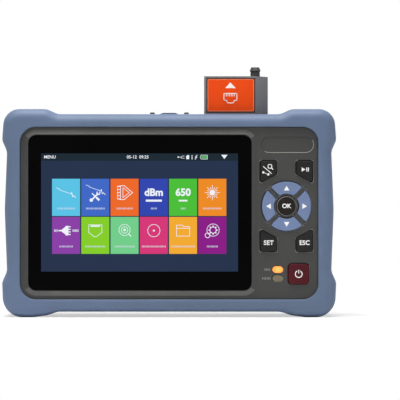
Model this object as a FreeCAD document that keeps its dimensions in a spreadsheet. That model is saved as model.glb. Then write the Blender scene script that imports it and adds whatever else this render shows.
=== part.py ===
import FreeCAD, Part
import math
import os
import re
import Sketcher

# Handheld optical time domain reflectometer, millimetres.
# X runs to the right of the screen, Y from the screen to the back, Z up.
# The tester stands on its two lower bumper corners, and Y is 0 at the joint of its two shells.

SIZES = [
    ("bumper_depth", 50.0, "rubber bumper, front to back"),
    ("bumper_side", 10.1, "bumper beside its opening, at the corner lobes"),
    ("corner_step", 1.2, "upper corners inside the widest point of the lobes"),
    ("foot_step", 0.7, "lower corners inside the widest point of the lobes"),
    ("waist_step", 2.7, "narrow places of the sides inside the lobes"),
    ("belly_step", 1.4, "swell half way up the sides inside the lobes"),
    ("lobe_rise", 2.8, "upper corners above the top edge"),
    ("rail_height", 7.1, "bumper above its opening"),
    ("rail_bottom", 3.0, "bottom edge between the feet"),
    ("foot_rise", 1.0, "inner end of each foot above the ground"),
    ("lobe_length", 30.7, "corner lobes along the top and bottom edges"),
    ("lobe_slope", 6.0, "slope from an edge up to its lobe"),
    ("foot_slope", 13.8, "slope from the bottom edge to the flat part of a foot"),
    ("lobe_drop", 17.2, "upper lobes' widest point below their top"),
    ("waist_drop", 6.1, "upper waist below the upper lobe"),
    ("belly_lift", 0.75, "side swell above the middle of the two waists"),
    ("lower_waist", 25.3, "height of the lower waist"),
    ("lower_lobe", 19.2, "height of the lower lobes"),
    ("corner_round", 9.0, "upper corner radius"),
    ("foot_round", 11.0, "lower corner radius"),
    ("bend_round", 8.0, "radius where an edge turns into a lobe"),
    ("lobe_round", 5.8, "radius at the tip of a lobe"),
    ("belly_round", 90.0, "radius of the side swell"),
    ("edge_round", 5.5, "round along the bumper's outer edges"),
    ("lip_thick", 3.2, "bumper lip in front of and behind the shells"),
    ("lip_round", 0.8, "round of the lip's inner edge"),
    ("opening_low", 9.9, "bumper opening, lower edge"),
    ("opening_round", 8.8, "bumper opening, corner radius"),
    ("bead_half_base", 5.2, "raised bead on the top edge, foot"),
    ("bead_half_top", 3.3, "raised bead on the top edge, crest"),
    ("bead_rise", 0.7, "raised bead on the top edge, height"),
    ("bead_length", 5.5, "raised bead, front to back"),
    ("bead_round", 0.3, "raised bead, round of its crest"),
    ("bead_root", 0.5, "raised bead, part inside the edge"),
    ("shell_lap_side", 3.35, "shells beyond the bumper's opening at the sides"),
    ("shell_lap_low", 3.15, "shells beyond the bumper's opening below"),
    ("shell_lap_high", 3.25, "shells beyond the bumper's opening above"),
    ("shell_round", 12.0, "shells, corner radius"),
    ("bumper_fit", 0.15, "room between the shells and the bumper"),
    ("panel_fit", 0.3, "room round the raised front and back panels"),
    ("panel_sink", 1.8, "front and back panels below the bumper's lips"),
    ("wall_thick", 2.2, "side walls of the shells and wall of the back"),
    ("plate_thick", 3.2, "front plate of the front shell"),
    ("seal_width", 0.9, "seal between the shells"),
    ("seal_height", 0.6, "seal between the shells, height"),
    ("glass_side", 4.6, "screen glass inside the opening, at its left and above"),
    ("glass_width", 122.4, "screen glass"),
    ("glass_under", 5.0, "screen glass above the opening's lower edge"),
    ("glass_to_keys", 4.9, "from the glass to the corner keys"),
    ("keys_side", 3.0, "from the corner keys to the opening's right side"),
    ("glass_round", 4.4, "screen glass, corner radius"),
    ("glass_thick", 1.5, "screen glass"),
    ("glass_fit", 0.15, "room round the glass and the display"),
    ("glass_sink", 0.2, "glass below the screen frame"),
    ("frame_width", 3.0, "bevel round the glass"),
    ("frame_rise", 0.9, "screen frame above the front panel"),
    ("tape_inset", 0.6, "sealing tape inside the glass and outside the display"),
    ("tape_thick", 0.5, "sealing tape behind the glass"),
    ("mask_left", 4.3, "black border of the glass, left"),
    ("mask_right", 4.9, "black border of the glass, right"),
    ("mask_low", 6.6, "black border of the glass, below"),
    ("mask_high", 6.4, "black border of the glass, above"),
    ("lcd_thick", 3.2, "display"),
    ("small_round", 1.0, "corner radius of the display and of the bays"),
    ("small_gap", 0.1, "room between pieces that are stacked"),
    ("tray_border", 2.4, "display tray, border round the display"),
    ("tray_bar", 9.0, "display tray, bars round its windows"),
    ("tray_round", 4.0, "display tray, corner radius of its windows"),
    ("tray_thick", 1.0, "display tray, sheet"),
    ("pill_half_length", 14.25, "plate recess, half length"),
    ("pill_shift", 0.4, "plate recess, to the right of the keypad's middle"),
    ("pill_height", 8.4, "plate recess, height"),
    ("pill_above", 5.5, "from the plate recess to the opening's upper edge"),
    ("pill_depth", 0.5, "plate recess"),
    ("keys_above", 4.85, "from the keypad to the plate recess"),
    ("keys_below", 6.8, "from the power key to the keypad"),
    ("arrow_outer", 13.5, "arrow keys, outer radius"),
    ("arrow_inner", 6.9, "arrow keys, inner radius"),
    ("arrow_half_gap", 1.25, "half of the gap between two arrow keys"),
    ("okay_radius", 5.4, "round key in the middle"),
    ("key_outer_x", 14.35, "corner keys, outer side from the keypad's middle"),
    ("key_inner_x", 5.35, "corner keys, inner side from the keypad's middle"),
    ("key_far", 24.8, "corner keys, far end from the keypad's middle"),
    ("key_near_inner", 17.8, "corner keys, near end of the inner side"),
    ("key_near_outer", 12.8, "corner keys, near end of the outer side"),
    ("key_corner", 1.0, "corner radius of the keys"),
    ("power_shift", 6.65, "power key, to the right of the keypad's middle"),
    ("power_rise", 8.35, "power key above the opening's lower edge"),
    ("power_half", 5.6, "half width of the power key"),
    ("power_corner", 2.0, "corner radius of the power key"),
    ("key_fit", 0.25, "room round each key"),
    ("key_proud", 1.0, "keys above the front panel"),
    ("key_flange", 1.0, "flange that holds a key behind the plate"),
    ("flange_reach", 0.8, "flange beyond the key's side"),
    ("key_edge", 0.4, "round of a key's top edge"),
    ("key_travel", 0.8, "key stroke"),
    ("key_rest_gap", 0.2, "room left under a pressed key"),
    ("switch_half", 2.4, "half width of a key switch"),
    ("switch_thick", 0.6, "key switch, housing"),
    ("plunger_radius", 1.1, "key switch, plunger"),
    ("plunger_rise", 0.4, "key switch, plunger above the housing"),
    ("light_shift", 4.85, "lamps, to the left of the keypad's middle"),
    ("light_lift", 2.45, "upper lamp above the power key's middle"),
    ("light_pitch", 4.9, "from the upper lamp to the lower one"),
    ("light_half_width", 2.8, "half width of a lamp"),
    ("light_half_height", 1.7, "half height of a lamp"),
    ("light_proud", 0.15, "lamps above the front panel"),
    ("board_thick", 1.6, "circuit boards"),
    ("board_round", 1.5, "corner radius of the circuit boards"),
    ("board_border", 2.0, "port board beyond its sockets"),
    ("board_gap", 0.7, "from the shells' left wall to the main board"),
    ("board_side", 3.4, "main board beyond the glass"),
    ("shield_rise", 3.0, "shield on the main board, height"),
    ("chip_rise", 1.6, "chips on the main board, height"),
    ("board_inset", 3.6, "screws of the main board inside its edges"),
    ("boss_radius", 2.3, "bosses that carry the boards"),
    ("board_screw", 1.1, "board screws, shank radius"),
    ("board_head", 1.9, "board screws, head radius"),
    ("board_head_rise", 1.2, "board screws, head height"),
    ("board_screw_length", 5.0, "board screws, shank below the head"),
    ("key_screw_length", 3.6, "screws of the key board, shank below the head"),
    ("hole_fit", 0.1, "room round a screw in a board or a cover"),
    ("screw_fit", 0.02, "room round a screw's thread"),
    ("main_level", 7.0, "main board behind the front plate"),
    ("screw_side", 8.65, "housing screws inside the shells' sides"),
    ("screw_rise", 7.85, "lower housing screws above the shells' lower side"),
    ("screw_drop", 9.25, "upper housing screws below the shells' upper side"),
    ("case_screw", 1.5, "housing screws, shank radius"),
    ("case_head", 2.7, "housing screws, head radius"),
    ("case_head_rise", 2.0, "housing screws, head height"),
    ("case_screw_length", 12.0, "housing screws, shank below the head"),
    ("case_boss", 2.6, "bosses of the front shell for the housing screws"),
    ("well_radius", 3.1, "screw wells of the rear shell"),
    ("well_wall", 1.3, "wall of the screw wells"),
    ("well_floor", 4.0, "floor of the screw wells"),
    ("bay_gap", 4.15, "from the shells' left wall to the battery bay"),
    ("cell_radius", 9.2, "one battery cell with its sleeve"),
    ("bay_rise", 14.75, "battery above the shells' lower side"),
    ("bay_top_gap", 4.8, "from the battery bay to the upper housing screws' wells"),
    ("battery_fit", 0.4, "room round the battery"),
    ("rib_half", 0.8, "ribs inside the battery door, half width"),
    ("door_rib", 1.2, "ribs inside the battery door"),
    ("pack_gap", 0.8, "room between the battery and the ribs of its door"),
    ("pack_seat", 0.2, "room under the battery"),
    ("bay_wall", 1.5, "walls of the battery bay"),
    ("blade_pitch", 5.0, "battery contacts, pitch"),
    ("blade_half", 1.2, "battery contacts, half width"),
    ("blade_height", 8.0, "battery contacts, height"),
    ("door_thick", 2.0, "battery door"),
    ("door_fit", 0.2, "room round the battery door"),
    ("door_ledge", 2.0, "ledge that the battery door lies on"),
    ("door_tab", 6.0, "ledge at the screws of the battery door"),
    ("door_hole", 6.0, "screw holes of the battery door"),
    ("grip_half", 0.6, "grip grooves of the battery door, half width and depth"),
    ("grip_pitch", 2.4, "grip grooves of the battery door, pitch"),
    ("door_round", 3.0, "corner radius of the battery door"),
    ("stand_side", 1.5, "from the stand's hinge pins to the battery door"),
    ("stand_thick", 3.4, "stand"),
    ("stand_drop", 16.3, "hinge of the stand below the opening's upper edge"),
    ("stand_length", 58.0, "stand, from its hinge to its end"),
    ("stand_edge", 0.6, "round of the stand's end"),
    ("stand_border", 8.0, "border round the recessed panel of the stand"),
    ("stand_panel", 0.8, "recessed panel of the stand, depth"),
    ("stand_rib", 2.0, "ribs on the stand's inner side"),
    ("stand_rib_depth", 1.2, "pockets between the ribs, depth"),
    ("foot_inset", 2.0, "rubber foot above the stand's end"),
    ("foot_height", 6.0, "rubber foot, height"),
    ("foot_seat", 0.8, "rubber foot, part inside the stand"),
    ("foot_proud", 0.2, "rubber foot, part above the stand"),
    ("stand_sink", 0.3, "stand below the back panel"),
    ("stand_gap", 0.4, "room round the stand"),
    ("stand_pin", 1.0, "hinge pins of the stand, radius"),
    ("stand_pin_length", 9.0, "hinge pins of the stand"),
    ("stand_pin_inset", 5.0, "hinge pins, length inside the stand"),
    ("pin_end_gap", 0.3, "room behind a hinge pin's end"),
    ("stand_pin_cover", 1.5, "rear shell beyond the ends of the hinge pins"),
    ("pin_fit", 0.05, "room round a hinge pin"),
    ("scoop_radius", 9.0, "finger scoop at the stand's end"),
    ("deck_thick", 2.0, "port panel"),
    ("deck_margin", 2.0, "port panel beyond its opening"),
    ("deck_end_left", 0.9, "port opening beyond the flap's ears"),
    ("deck_end_right", 2.6, "port opening beyond the remote unit"),
    ("deck_front", -13.5, "port opening, front side"),
    ("deck_back", 14.2, "port opening, rear side"),
    ("deck_round", 3.0, "port opening, corner radius"),
    ("port_y", 0.0, "middle line of the ports"),
    ("ear_gap", 0.25, "from an optical port's ear to the middle"),
    ("cover_half_width", 7.5, "dust covers, half width"),
    ("cover_front", -9.5, "front side of the dust covers"),
    ("cover_rise", 5.35, "dust covers above the port panel"),
    ("cover_wall", 1.2, "walls of the dust covers"),
    ("cover_edge", 0.4, "round of the dust covers' lower edges"),
    ("cover_gap", 0.3, "dust covers above the port panel"),
    ("cover_round", 2.0, "front edge radius of the dust covers"),
    ("cover_side_gap", 0.4, "room beside a dust cover"),
    ("cover_axis_y", 10.9, "hinge line of the dust covers"),
    ("axis_rise", 3.65, "hinge line of the dust covers above the port panel"),
    ("knuckle_radius", 1.7, "hinge knuckles of the dust covers"),
    ("cover_pin", 0.75, "hinge pins of the dust covers, radius"),
    ("ear_thick", 1.3, "hinge ears on the port panel"),
    ("ear_root", 0.5, "hinge ears, beyond the knuckles and inside the port panel"),
    ("ear_flat", 0.3, "hinge ears, flat cut off their round top"),
    ("nub_half_width", 1.35, "finger nub of a dust cover"),
    ("nub_rise", 2.0, "finger nubs above the dust covers"),
    ("nub_inset", 0.6, "finger nubs behind the cover's front, and their corner radius"),
    ("nub_depth", 3.0, "finger nubs, front to back"),
    ("flap_room", 1.54, "from the flap's ear to the cap of the visible light port"),
    ("flap_half_width", 13.5, "socket flap, half width"),
    ("laser_room", 1.29, "from that cap to the dust cover's ear"),
    ("ferrule_bore", 1.26, "sleeve for a 2.5 mm ferrule, radius"),
    ("sleeve_radius", 1.85, "ferrule sleeve, outer radius"),
    ("barrel_radius", 4.0, "port barrel, outer radius"),
    ("barrel_wall", 0.75, "wall of the port barrel"),
    ("barrel_rise", 3.9, "port barrel above the port panel"),
    ("rim_chamfer", 0.2, "chamfer at the rims of the ports"),
    ("sleeve_drop", 1.2, "ferrule sleeve below the barrel's rim"),
    ("port_flange", 6.2, "port flange under the panel, radius"),
    ("port_flange_thick", 1.6, "port flange"),
    ("port_tail", 9.0, "port body below its flange"),
    ("tail_step", 0.6, "port body inside the barrel's radius"),
    ("moat_depth", 1.0, "room round the ferrule sleeve, below the panel's face"),
    ("laser_flange", 4.7, "flange of the visible light port, radius"),
    ("laser_barrel", 3.0, "visible light port, barrel radius"),
    ("cap_wall", 1.2, "cap of the visible light port"),
    ("cap_round", 0.8, "round of the cap's top edge"),
    ("cap_fit", 0.06, "room between the cap and its barrel"),
    ("cap_rise", 5.45, "top of the cap above the port panel"),
    ("jack_half_width", 7.9, "network jack, half width"),
    ("jack_front", -8.0, "network jack, front side"),
    ("jack_back", 7.4, "network jack, rear side"),
    ("jack_length", 13.4, "network jack, height"),
    ("jack_slot_half", 6.1, "jack socket, half width"),
    ("jack_slot_back", 4.0, "jack socket, half depth"),
    ("jack_slot_length", 12.0, "jack socket, depth"),
    ("latch_slot_half", 3.4, "latch slot of the jack, half width"),
    ("latch_slot_depth", 2.2, "latch slot of the jack"),
    ("jack_shift", 4.8, "network jack, to the right of the flap's middle"),
    ("jack_round", 0.5, "corner radius of the jacks"),
    ("jack_fit", 0.2, "room round a jack in the port panel"),
    ("jack_gap", 0.6, "from the network jack to the charging socket"),
    ("usb_half_length", 4.5, "charging socket, half length"),
    ("usb_half_width", 1.65, "charging socket, half width"),
    ("usb_wall", 0.35, "charging socket, wall"),
    ("usb_depth", 7.0, "charging socket, depth"),
    ("tongue_inset", 1.0, "contact tongue inside the charging socket's ends"),
    ("tongue_half", 0.35, "contact tongue, half thickness"),
    ("tongue_root", 0.2, "contact tongue, part inside the socket's floor"),
    ("tongue_drop", 0.8, "contact tongue below the socket's rim"),
    ("port_board_half_depth", 9.6, "port board, half depth"),
    ("remote_gap", 0.6, "from the dust cover's ear to the remote unit"),
    ("remote_face", 28.45, "remote unit, width of its front face"),
    ("remote_width", 35.45, "remote unit, width"),
    ("remote_height", 27.25, "remote unit, height above the port panel"),
    ("remote_front", -12.0, "remote unit, front face"),
    ("remote_back", 12.0, "remote unit, rear face"),
    ("remote_cant", 10.0, "remote unit, depth of its canted side"),
    ("remote_wall", 1.8, "remote unit, walls"),
    ("remote_lid", 2.4, "remote unit, rear cover"),
    ("remote_round", 1.0, "remote unit, edge radius"),
    ("dock_inset", 15.35, "plug of the remote unit, from its left side"),
    ("plug_half_width", 5.85, "plug, half width"),
    ("plug_half_depth", 3.7, "plug, half depth"),
    ("plug_reach", 11.4, "plug below the remote unit"),
    ("plug_root", 8.0, "plug inside the remote unit"),
    ("plug_fit", 0.1, "room round the plug in the remote unit"),
    ("latch_half", 2.6, "latch of the plug, half width"),
    ("latch_rise", 1.5, "latch of the plug"),
    ("label_border", 1.55, "plate on the remote unit, from its left side"),
    ("label_edge", 0.6, "plate on the remote unit, from the end of its face"),
    ("label_height", 18.5, "plate on the remote unit, height"),
    ("label_drop", 1.3, "plate on the remote unit, below its top"),
    ("label_thick", 0.4, "plate on the remote unit"),
    ("label_fit", 0.05, "room round the plate and the post's stub"),
    ("label_round", 0.8, "plate on the remote unit, corner radius"),
    ("label_sink", 0.2, "plate on the remote unit, part below its face"),
    ("post_inset", 6.95, "post on the remote unit, from its right side"),
    ("post_y", 4.0, "post on the remote unit"),
    ("post_radius", 2.65, "post, shaft radius"),
    ("post_stub", 2.0, "post, radius of its stub in the remote unit"),
    ("post_head", 3.25, "post, widest radius of its head"),
    ("post_crown", 2.4, "post, radius of its top"),
    ("post_neck", 2.7, "post, shaft height"),
    ("post_flare", 1.0, "post, height of the flare under its head"),
    ("post_crown_rise", 1.9, "post, height of its head above the flare"),
    ("speaker_side", 23.95, "loudspeaker, from the shells' right wall"),
    ("speaker_rise", 29.25, "loudspeaker above the shells' lower side"),
    ("speaker_radius", 10.0, "loudspeaker"),
    ("speaker_thick", 4.0, "loudspeaker"),
    ("speaker_rim", 1.5, "loudspeaker, thickness of its frame"),
    ("magnet_radius", 6.0, "loudspeaker, magnet radius"),
    ("grille_slot", 0.7, "grille slots, half width"),
    ("grille_pitch", 3.0, "grille slots, pitch"),
    ("optics_gap", 0.5, "optical module beside the stand's recess"),
    ("optics_side", 5.45, "optical module, from the shells' right wall"),
    ("optics_over", 4.0, "optical module above the loudspeaker"),
    ("optics_under", 4.65, "optical module below the port board"),
    ("optics_thick", 12.0, "optical module"),
    ("optics_round", 2.0, "corner radius of the optical module"),
    ("fin_border", 3.0, "fins inside the optical module's sides"),
    ("fin_gap", 2.0, "grooves between the fins, width"),
    ("fin_depth", 1.2, "grooves between the fins, depth"),
    ("gland_pitch", 12.0, "fibre glands, pitch"),
    ("gland_radius", 1.5, "fibre glands, radius"),
    ("gland_rise", 1.6, "fibre glands, height"),
    ("optics_stud", 3.0, "spacers behind the optical module"),
    ("stud_inset", 4.0, "spacers inside the optical module's sides"),
    ("hole_edge", 0.3, "chamfer round the key holes, the lamp holes and the plate recess"),
]

# Sizes that follow from the ones above: what lies side by side adds up to the outline.
FOLLOWING = {
    "opening_half_width": "(glass_side + glass_width + glass_to_keys + key_outer_x * 2 + keys_side) / 2",
    "glass_left": "glass_side - opening_half_width",
    "glass_right": "glass_left + glass_width",
    "pad_x": "glass_right + glass_to_keys + key_outer_x",
    "power_x": "pad_x + power_shift",
    "light_x": "pad_x - light_shift",
    "pill_left": "pad_x + pill_shift - pill_half_length",
    "pill_right": "pad_x + pill_shift + pill_half_length",
    "lobe_half_width": "opening_half_width + bumper_side",
    "corner_half_width": "lobe_half_width - corner_step",
    "foot_half_width": "lobe_half_width - foot_step",
    "waist_half_width": "lobe_half_width - waist_step",
    "belly_half_width": "lobe_half_width - belly_step",
    "rail_half_length": "lobe_half_width - lobe_length",
    "lobe_start": "rail_half_length + lobe_slope",
    "foot_land": "rail_half_length + foot_slope",
    "shell_half_width": "opening_half_width + shell_lap_side",
    "lcd_left": "glass_left + mask_left",
    "lcd_right": "glass_right - mask_right",
    "power_z": "opening_low + power_rise + power_half",
    "light_z": "power_z + light_lift",
    "pad_z": "power_z + power_half + keys_below + key_far",
    "pill_low": "pad_z + key_far + keys_above",
    "pill_high": "pill_low + pill_height",
    "opening_high": "pill_high + pill_above",
    "rail_top": "opening_high + rail_height",
    "lobe_top": "rail_top + lobe_rise",
    "upper_lobe": "lobe_top - lobe_drop",
    "upper_waist": "upper_lobe - waist_drop",
    "belly_height": "(lower_waist + upper_waist) / 2 + belly_lift",
    "shell_low": "opening_low - shell_lap_low",
    "shell_high": "opening_high + shell_lap_high",
    "glass_low": "opening_low + glass_under",
    "glass_high": "opening_high - glass_side",
    "lcd_low": "glass_low + mask_low",
    "lcd_high": "glass_high - mask_high",
    "case_screw_x": "shell_half_width - screw_side",
    "case_screw_low": "shell_low + screw_rise",
    "case_screw_high": "shell_high - screw_drop",
    "bay_x": "wall_thick + bay_gap + bay_wall + battery_fit + cell_radius * 2 - shell_half_width",
    "battery_low": "shell_low + bay_rise",
    "battery_length": ("case_screw_high - well_radius - well_wall - bay_top_gap - bay_wall - battery_fit"
                       " - battery_low"),
    "stand_half_width": ("-bay_x - cell_radius * 2 - battery_fit - door_ledge - door_fit - stand_side"
                         " - stand_pin_length + stand_pin_inset"),
    "stand_axis": "opening_high - stand_drop",
    "deck_top": "shell_high - wall_thick",
    "port_half_pitch": "cover_half_width + cover_side_gap + ear_thick + ear_gap",
    "cover_group_end": "port_half_pitch + cover_half_width + cover_side_gap + ear_thick",
    "cap_radius": "laser_barrel + cap_fit + cap_wall",
    "laser_x": "-cover_group_end - laser_room - cap_radius",
    "flap_x": "laser_x - cap_radius - flap_room - ear_thick - cover_side_gap - flap_half_width",
    "deck_left": "flap_x - flap_half_width - cover_side_gap - ear_thick - deck_end_left",
    "deck_right": "remote_right + deck_end_right",
    "jack_x": "flap_x + jack_shift",
    "usb_x": "jack_x - jack_half_width - jack_gap - usb_half_length",
    "cover_top": "deck_top + cover_rise",
    "cover_axis_z": "deck_top + axis_rise",
    "nub_top": "cover_top + nub_rise",
    "cap_top": "deck_top + cap_rise",
    "remote_left": "cover_group_end + remote_gap",
    "remote_edge": "remote_left + remote_face",
    "remote_right": "remote_left + remote_width",
    "remote_top": "deck_top + remote_height",
    "dock_x": "remote_left + dock_inset",
    "label_left": "remote_left + label_border",
    "label_right": "remote_edge - label_edge",
    "label_high": "remote_top - label_drop",
    "label_low": "label_high - label_height",
    "post_x": "remote_right - post_inset",
    "speaker_x": "shell_half_width - wall_thick - speaker_side",
    "speaker_z": "shell_low + speaker_rise",
    "stand_block_end": "stand_half_width + stand_pin_length - stand_pin_inset + stand_pin_cover",
    "optics_left": "stand_block_end + optics_gap",
    "optics_right": "shell_half_width - wall_thick - optics_side",
    "optics_low": "speaker_z + speaker_radius + optics_over",
    "optics_high": "deck_top - jack_length - board_thick - optics_under",
}

ARROWS = [("key_right", 0), ("key_up", 90), ("key_left", 180), ("key_down", 270)]
CORNER_KEYS = [("key_zoom", -1, 1), ("key_run", 1, 1), ("key_set", -1, -1), ("key_esc", 1, -1)]

doc = FreeCAD.newDocument("reflectometer")
sheet = doc.addObject("Spreadsheet::Sheet", "Sizes")
for row, (alias, number, meaning) in enumerate(SIZES, start=1):
    sheet.set(f"A{row}", meaning)
    sheet.set(f"B{row}", str(number))
    sheet.setAlias(f"B{row}", alias)
doc.recompute()

ALIASES = {alias for alias, number, meaning in SIZES}
WORD = re.compile(r"[a-z]+(?:_[a-z]+)+")
NEAR = 0.001

# Levels that several pieces share, as formulas of the sizes above.
BUMPER_FRONT = "(-bumper_depth / 2)"
BUMPER_BACK = "(bumper_depth / 2)"
SHOULDER_FRONT = f"({BUMPER_FRONT} + lip_thick)"
SHOULDER_BACK = f"({BUMPER_BACK} - lip_thick)"
PANEL_FRONT = f"({BUMPER_FRONT} + panel_sink)"
PANEL_BACK = f"({BUMPER_BACK} - panel_sink)"
PLATE_BACK = f"({PANEL_FRONT} + plate_thick)"
BACK_WALL = f"({PANEL_BACK} - wall_thick)"
FRAME_FRONT = f"({PANEL_FRONT} - frame_rise)"
GLASS_FRONT = f"({FRAME_FRONT} + glass_sink)"
GLASS_BACK = f"({GLASS_FRONT} + glass_thick)"
TAPE_BACK = f"({GLASS_BACK} + tape_thick)"
KEY_BACK = f"({PLATE_BACK} + key_flange)"
KEY_BOARD = f"({KEY_BACK} + key_travel + key_rest_gap + plunger_rise + switch_thick)"
MAIN_BOARD = f"({PLATE_BACK} + main_level)"
DECK_TOP = "deck_top"
DECK_BOTTOM = f"({DECK_TOP} - deck_thick)"
PORT_BOARD_TOP = f"({DECK_TOP} - jack_length)"
DOOR_BACK = PANEL_BACK
DOOR_SEAT = f"({PANEL_BACK} - door_thick)"
BAY_TOP = "(battery_low + battery_length + battery_fit)"
BAY_FLOOR = f"({DOOR_SEAT} - door_rib - pack_gap - cell_radius * 2 - pack_seat)"
STAND_BACK = f"({PANEL_BACK} - stand_sink)"
STAND_FRONT = f"({STAND_BACK} - stand_thick)"
STAND_AXIS_Y = f"({STAND_BACK} - stand_thick / 2)"
STAND_FLOOR = f"({STAND_FRONT} - stand_gap)"


def bound(formula):
    """Points a formula of size names at the sheet, and writes the following sizes out."""
    def place(match):
        word = match.group(0)
        if word in FOLLOWING:
            return f"({bound(FOLLOWING[word])})"
        return "Sizes." + word if word in ALIASES else word
    return WORD.sub(place, formula)


def value(formula):
    """Works a formula of size names out."""
    return float(sheet.evalExpression(bound(formula)))


def point(x, y):
    return FreeCAD.Vector(x, y, 0)


def constrain(sketch, entries):
    """Adds (constraint, formula) pairs, and ties each formula to its constraint."""
    first = sketch.addConstraint([entry[0] for entry in entries])[0]
    for offset, (constraint, formula) in enumerate(entries):
        if formula is not None:
            sketch.setExpression(f"Constraints[{first + offset}]", bound(formula))


def fixed(geometry, position, x, y):
    """Ties a point of a sketch to two formulas."""
    return [
        (Sketcher.Constraint("DistanceX", -1, 1, geometry, position, value(x)), x),
        (Sketcher.Constraint("DistanceY", -1, 1, geometry, position, value(y)), y),
    ]


def outline(corners):
    """A closed outline whose corners are (x, y, radius) formulas."""
    def draw(sketch):
        count = len(corners)
        spots = [point(value(x), value(y)) for x, y, radius in corners]
        rounds = [value(radius) for x, y, radius in corners]
        starts, ends, arcs = list(spots), list(spots), [None] * count
        for index, spot in enumerate(spots):
            if rounds[index] <= 0:
                continue
            back = (spots[index - 1] - spot).normalize()
            ahead = (spots[(index + 1) % count] - spot).normalize()
            half = back.getAngle(ahead) / 2
            reach = rounds[index] / math.tan(half)
            ends[index] = spot + back * reach
            starts[index] = spot + ahead * reach
            centre = spot + (back + ahead).normalize() * (rounds[index] / math.sin(half))
            left_turn = back.cross(ahead).z < 0
            first, last = (ends[index], starts[index]) if left_turn else (starts[index], ends[index])
            angles = [math.atan2(p.y - centre.y, p.x - centre.x) for p in (first, last)]
            circle = Part.Circle(centre, FreeCAD.Vector(0, 0, 1), rounds[index])
            arcs[index] = (Part.ArcOfCircle(circle, angles[0], angles[1]), left_turn)
        lines = [Part.LineSegment(starts[i], ends[(i + 1) % count]) for i in range(count)]
        base = sketch.addGeometry(lines, False)[0]
        entries = []
        for index, (x, y, radius) in enumerate(corners):
            before, after = base + (index - 1) % count, base + index
            if arcs[index] is None:
                entries.append((Sketcher.Constraint("Coincident", before, 2, after, 1), None))
                entries += fixed(after, 1, x, y)
                continue
            shape, left_turn = arcs[index]
            arc = sketch.addGeometry(shape, False)
            tip = sketch.addGeometry(Part.Point(spots[index]), True)
            enter, leave = (1, 2) if left_turn else (2, 1)
            entries += [
                (Sketcher.Constraint("Tangent", before, 2, arc, enter), None),
                (Sketcher.Constraint("Tangent", arc, leave, after, 1), None),
                (Sketcher.Constraint("PointOnObject", tip, 1, before), None),
                (Sketcher.Constraint("PointOnObject", tip, 1, after), None),
                (Sketcher.Constraint("Radius", arc, rounds[index]), radius),
            ]
            entries += fixed(tip, 1, x, y)
        constrain(sketch, entries)
    return draw


def rectangle(left, right, low, high, radius="0"):
    """A rectangle between four formulas, with rounded corners."""
    return outline([(left, low, radius), (right, low, radius), (right, high, radius), (left, high, radius)])


def disc(x, y, radius):
    """A circle at a point given by formulas."""
    def draw(sketch):
        circle = Part.Circle(point(value(x), value(y)), FreeCAD.Vector(0, 0, 1), value(radius))
        index = sketch.addGeometry(circle, False)
        constrain(sketch, fixed(index, 3, x, y) + [
            (Sketcher.Constraint("Radius", index, value(radius)), radius)])
    return draw


def discs(places, radius):
    """Equal circles at places given as (x, y) formulas."""
    return [disc(x, y, radius) for x, y in places]


def sector(x, y, turn, inner, outer, half_gap):
    """A quarter of a ring that faces the angle turn, with straight gaps to its neighbours."""
    def draw(sketch):
        centre = point(value(x), value(y))
        hub = sketch.addGeometry(Part.Point(centre), True)
        radii, gap = (value(inner), value(outer)), value(half_gap)
        sides, angles = [], []
        for sign in (-1, 1):
            angle = math.radians(turn + 45 * sign)
            along = point(math.cos(angle), math.sin(angle))
            inwards = point(-along.y, along.x) * (-sign)
            ends = [centre + inwards * gap + along * math.sqrt(r * r - gap * gap) for r in radii]
            sides.append(sketch.addGeometry(Part.LineSegment(ends[0], ends[1]), False))
            angles.append([math.atan2(e.y - centre.y, e.x - centre.x) for e in ends])
        arcs = []
        for index, radius in enumerate(radii):
            circle = Part.Circle(centre, FreeCAD.Vector(0, 0, 1), radius)
            arc = Part.ArcOfCircle(circle, angles[0][index], angles[1][index])
            arcs.append(sketch.addGeometry(arc, False))
        entries = fixed(hub, 1, x, y)
        for index, arc in enumerate(arcs):
            entries.append((Sketcher.Constraint("Coincident", arc, 3, hub, 1), None))
            entries.append((Sketcher.Constraint("Coincident", arc, 1, sides[0], index + 1), None))
            entries.append((Sketcher.Constraint("Coincident", arc, 2, sides[1], index + 1), None))
            entries.append((Sketcher.Constraint("Radius", arc, radii[index]), (inner, outer)[index]))
        for sign, side in zip((-1, 1), sides):
            turned = math.radians(turn + 45 * sign)
            entries.append((Sketcher.Constraint("Angle", side, turned), None))
            entries.append((Sketcher.Constraint("Distance", hub, 1, side, gap), half_gap))
        constrain(sketch, entries)
    return draw


def body(name, x="0", y="0", z="0"):
    """An empty body at a place given by formulas."""
    piece = doc.addObject("PartDesign::Body", name)
    piece.Label = name
    piece.AllowCompound = True
    for axis, formula in zip("xyz", (x, y, z)):
        piece.setExpression("Placement.Base." + axis, bound(formula))
    return piece


def sketch_on(piece, name, plane, level, *shapes):
    """A sketch of shapes on a plane of the body: front looks along Y, top along Z, side along X."""
    role, sign = {"front": ("XZ_Plane", -1), "top": ("XY_Plane", 1), "side": ("YZ_Plane", 1)}[plane]
    support = [feature for feature in piece.Origin.OriginFeatures if feature.Role == role][0]
    sketch = piece.newObject("Sketcher::SketchObject", name + "_sketch")
    sketch.AttachmentSupport = [(support, "")]
    sketch.MapMode = "FlatFace"
    sketch.setExpression("AttachmentOffset.Base.z", bound(f"{sign} * ({level})"))
    for shape in shapes:
        shape(sketch)
    return sketch


def pad(piece, name, plane, low, high, *shapes):
    """Material between two levels."""
    sketch = sketch_on(piece, name, plane, high if plane == "front" else low, *shapes)
    feature = piece.newObject("PartDesign::Pad", name)
    feature.Profile = sketch
    feature.setExpression("Length", bound(f"({high}) - ({low})"))
    sketch.Visibility = False
    return feature


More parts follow.
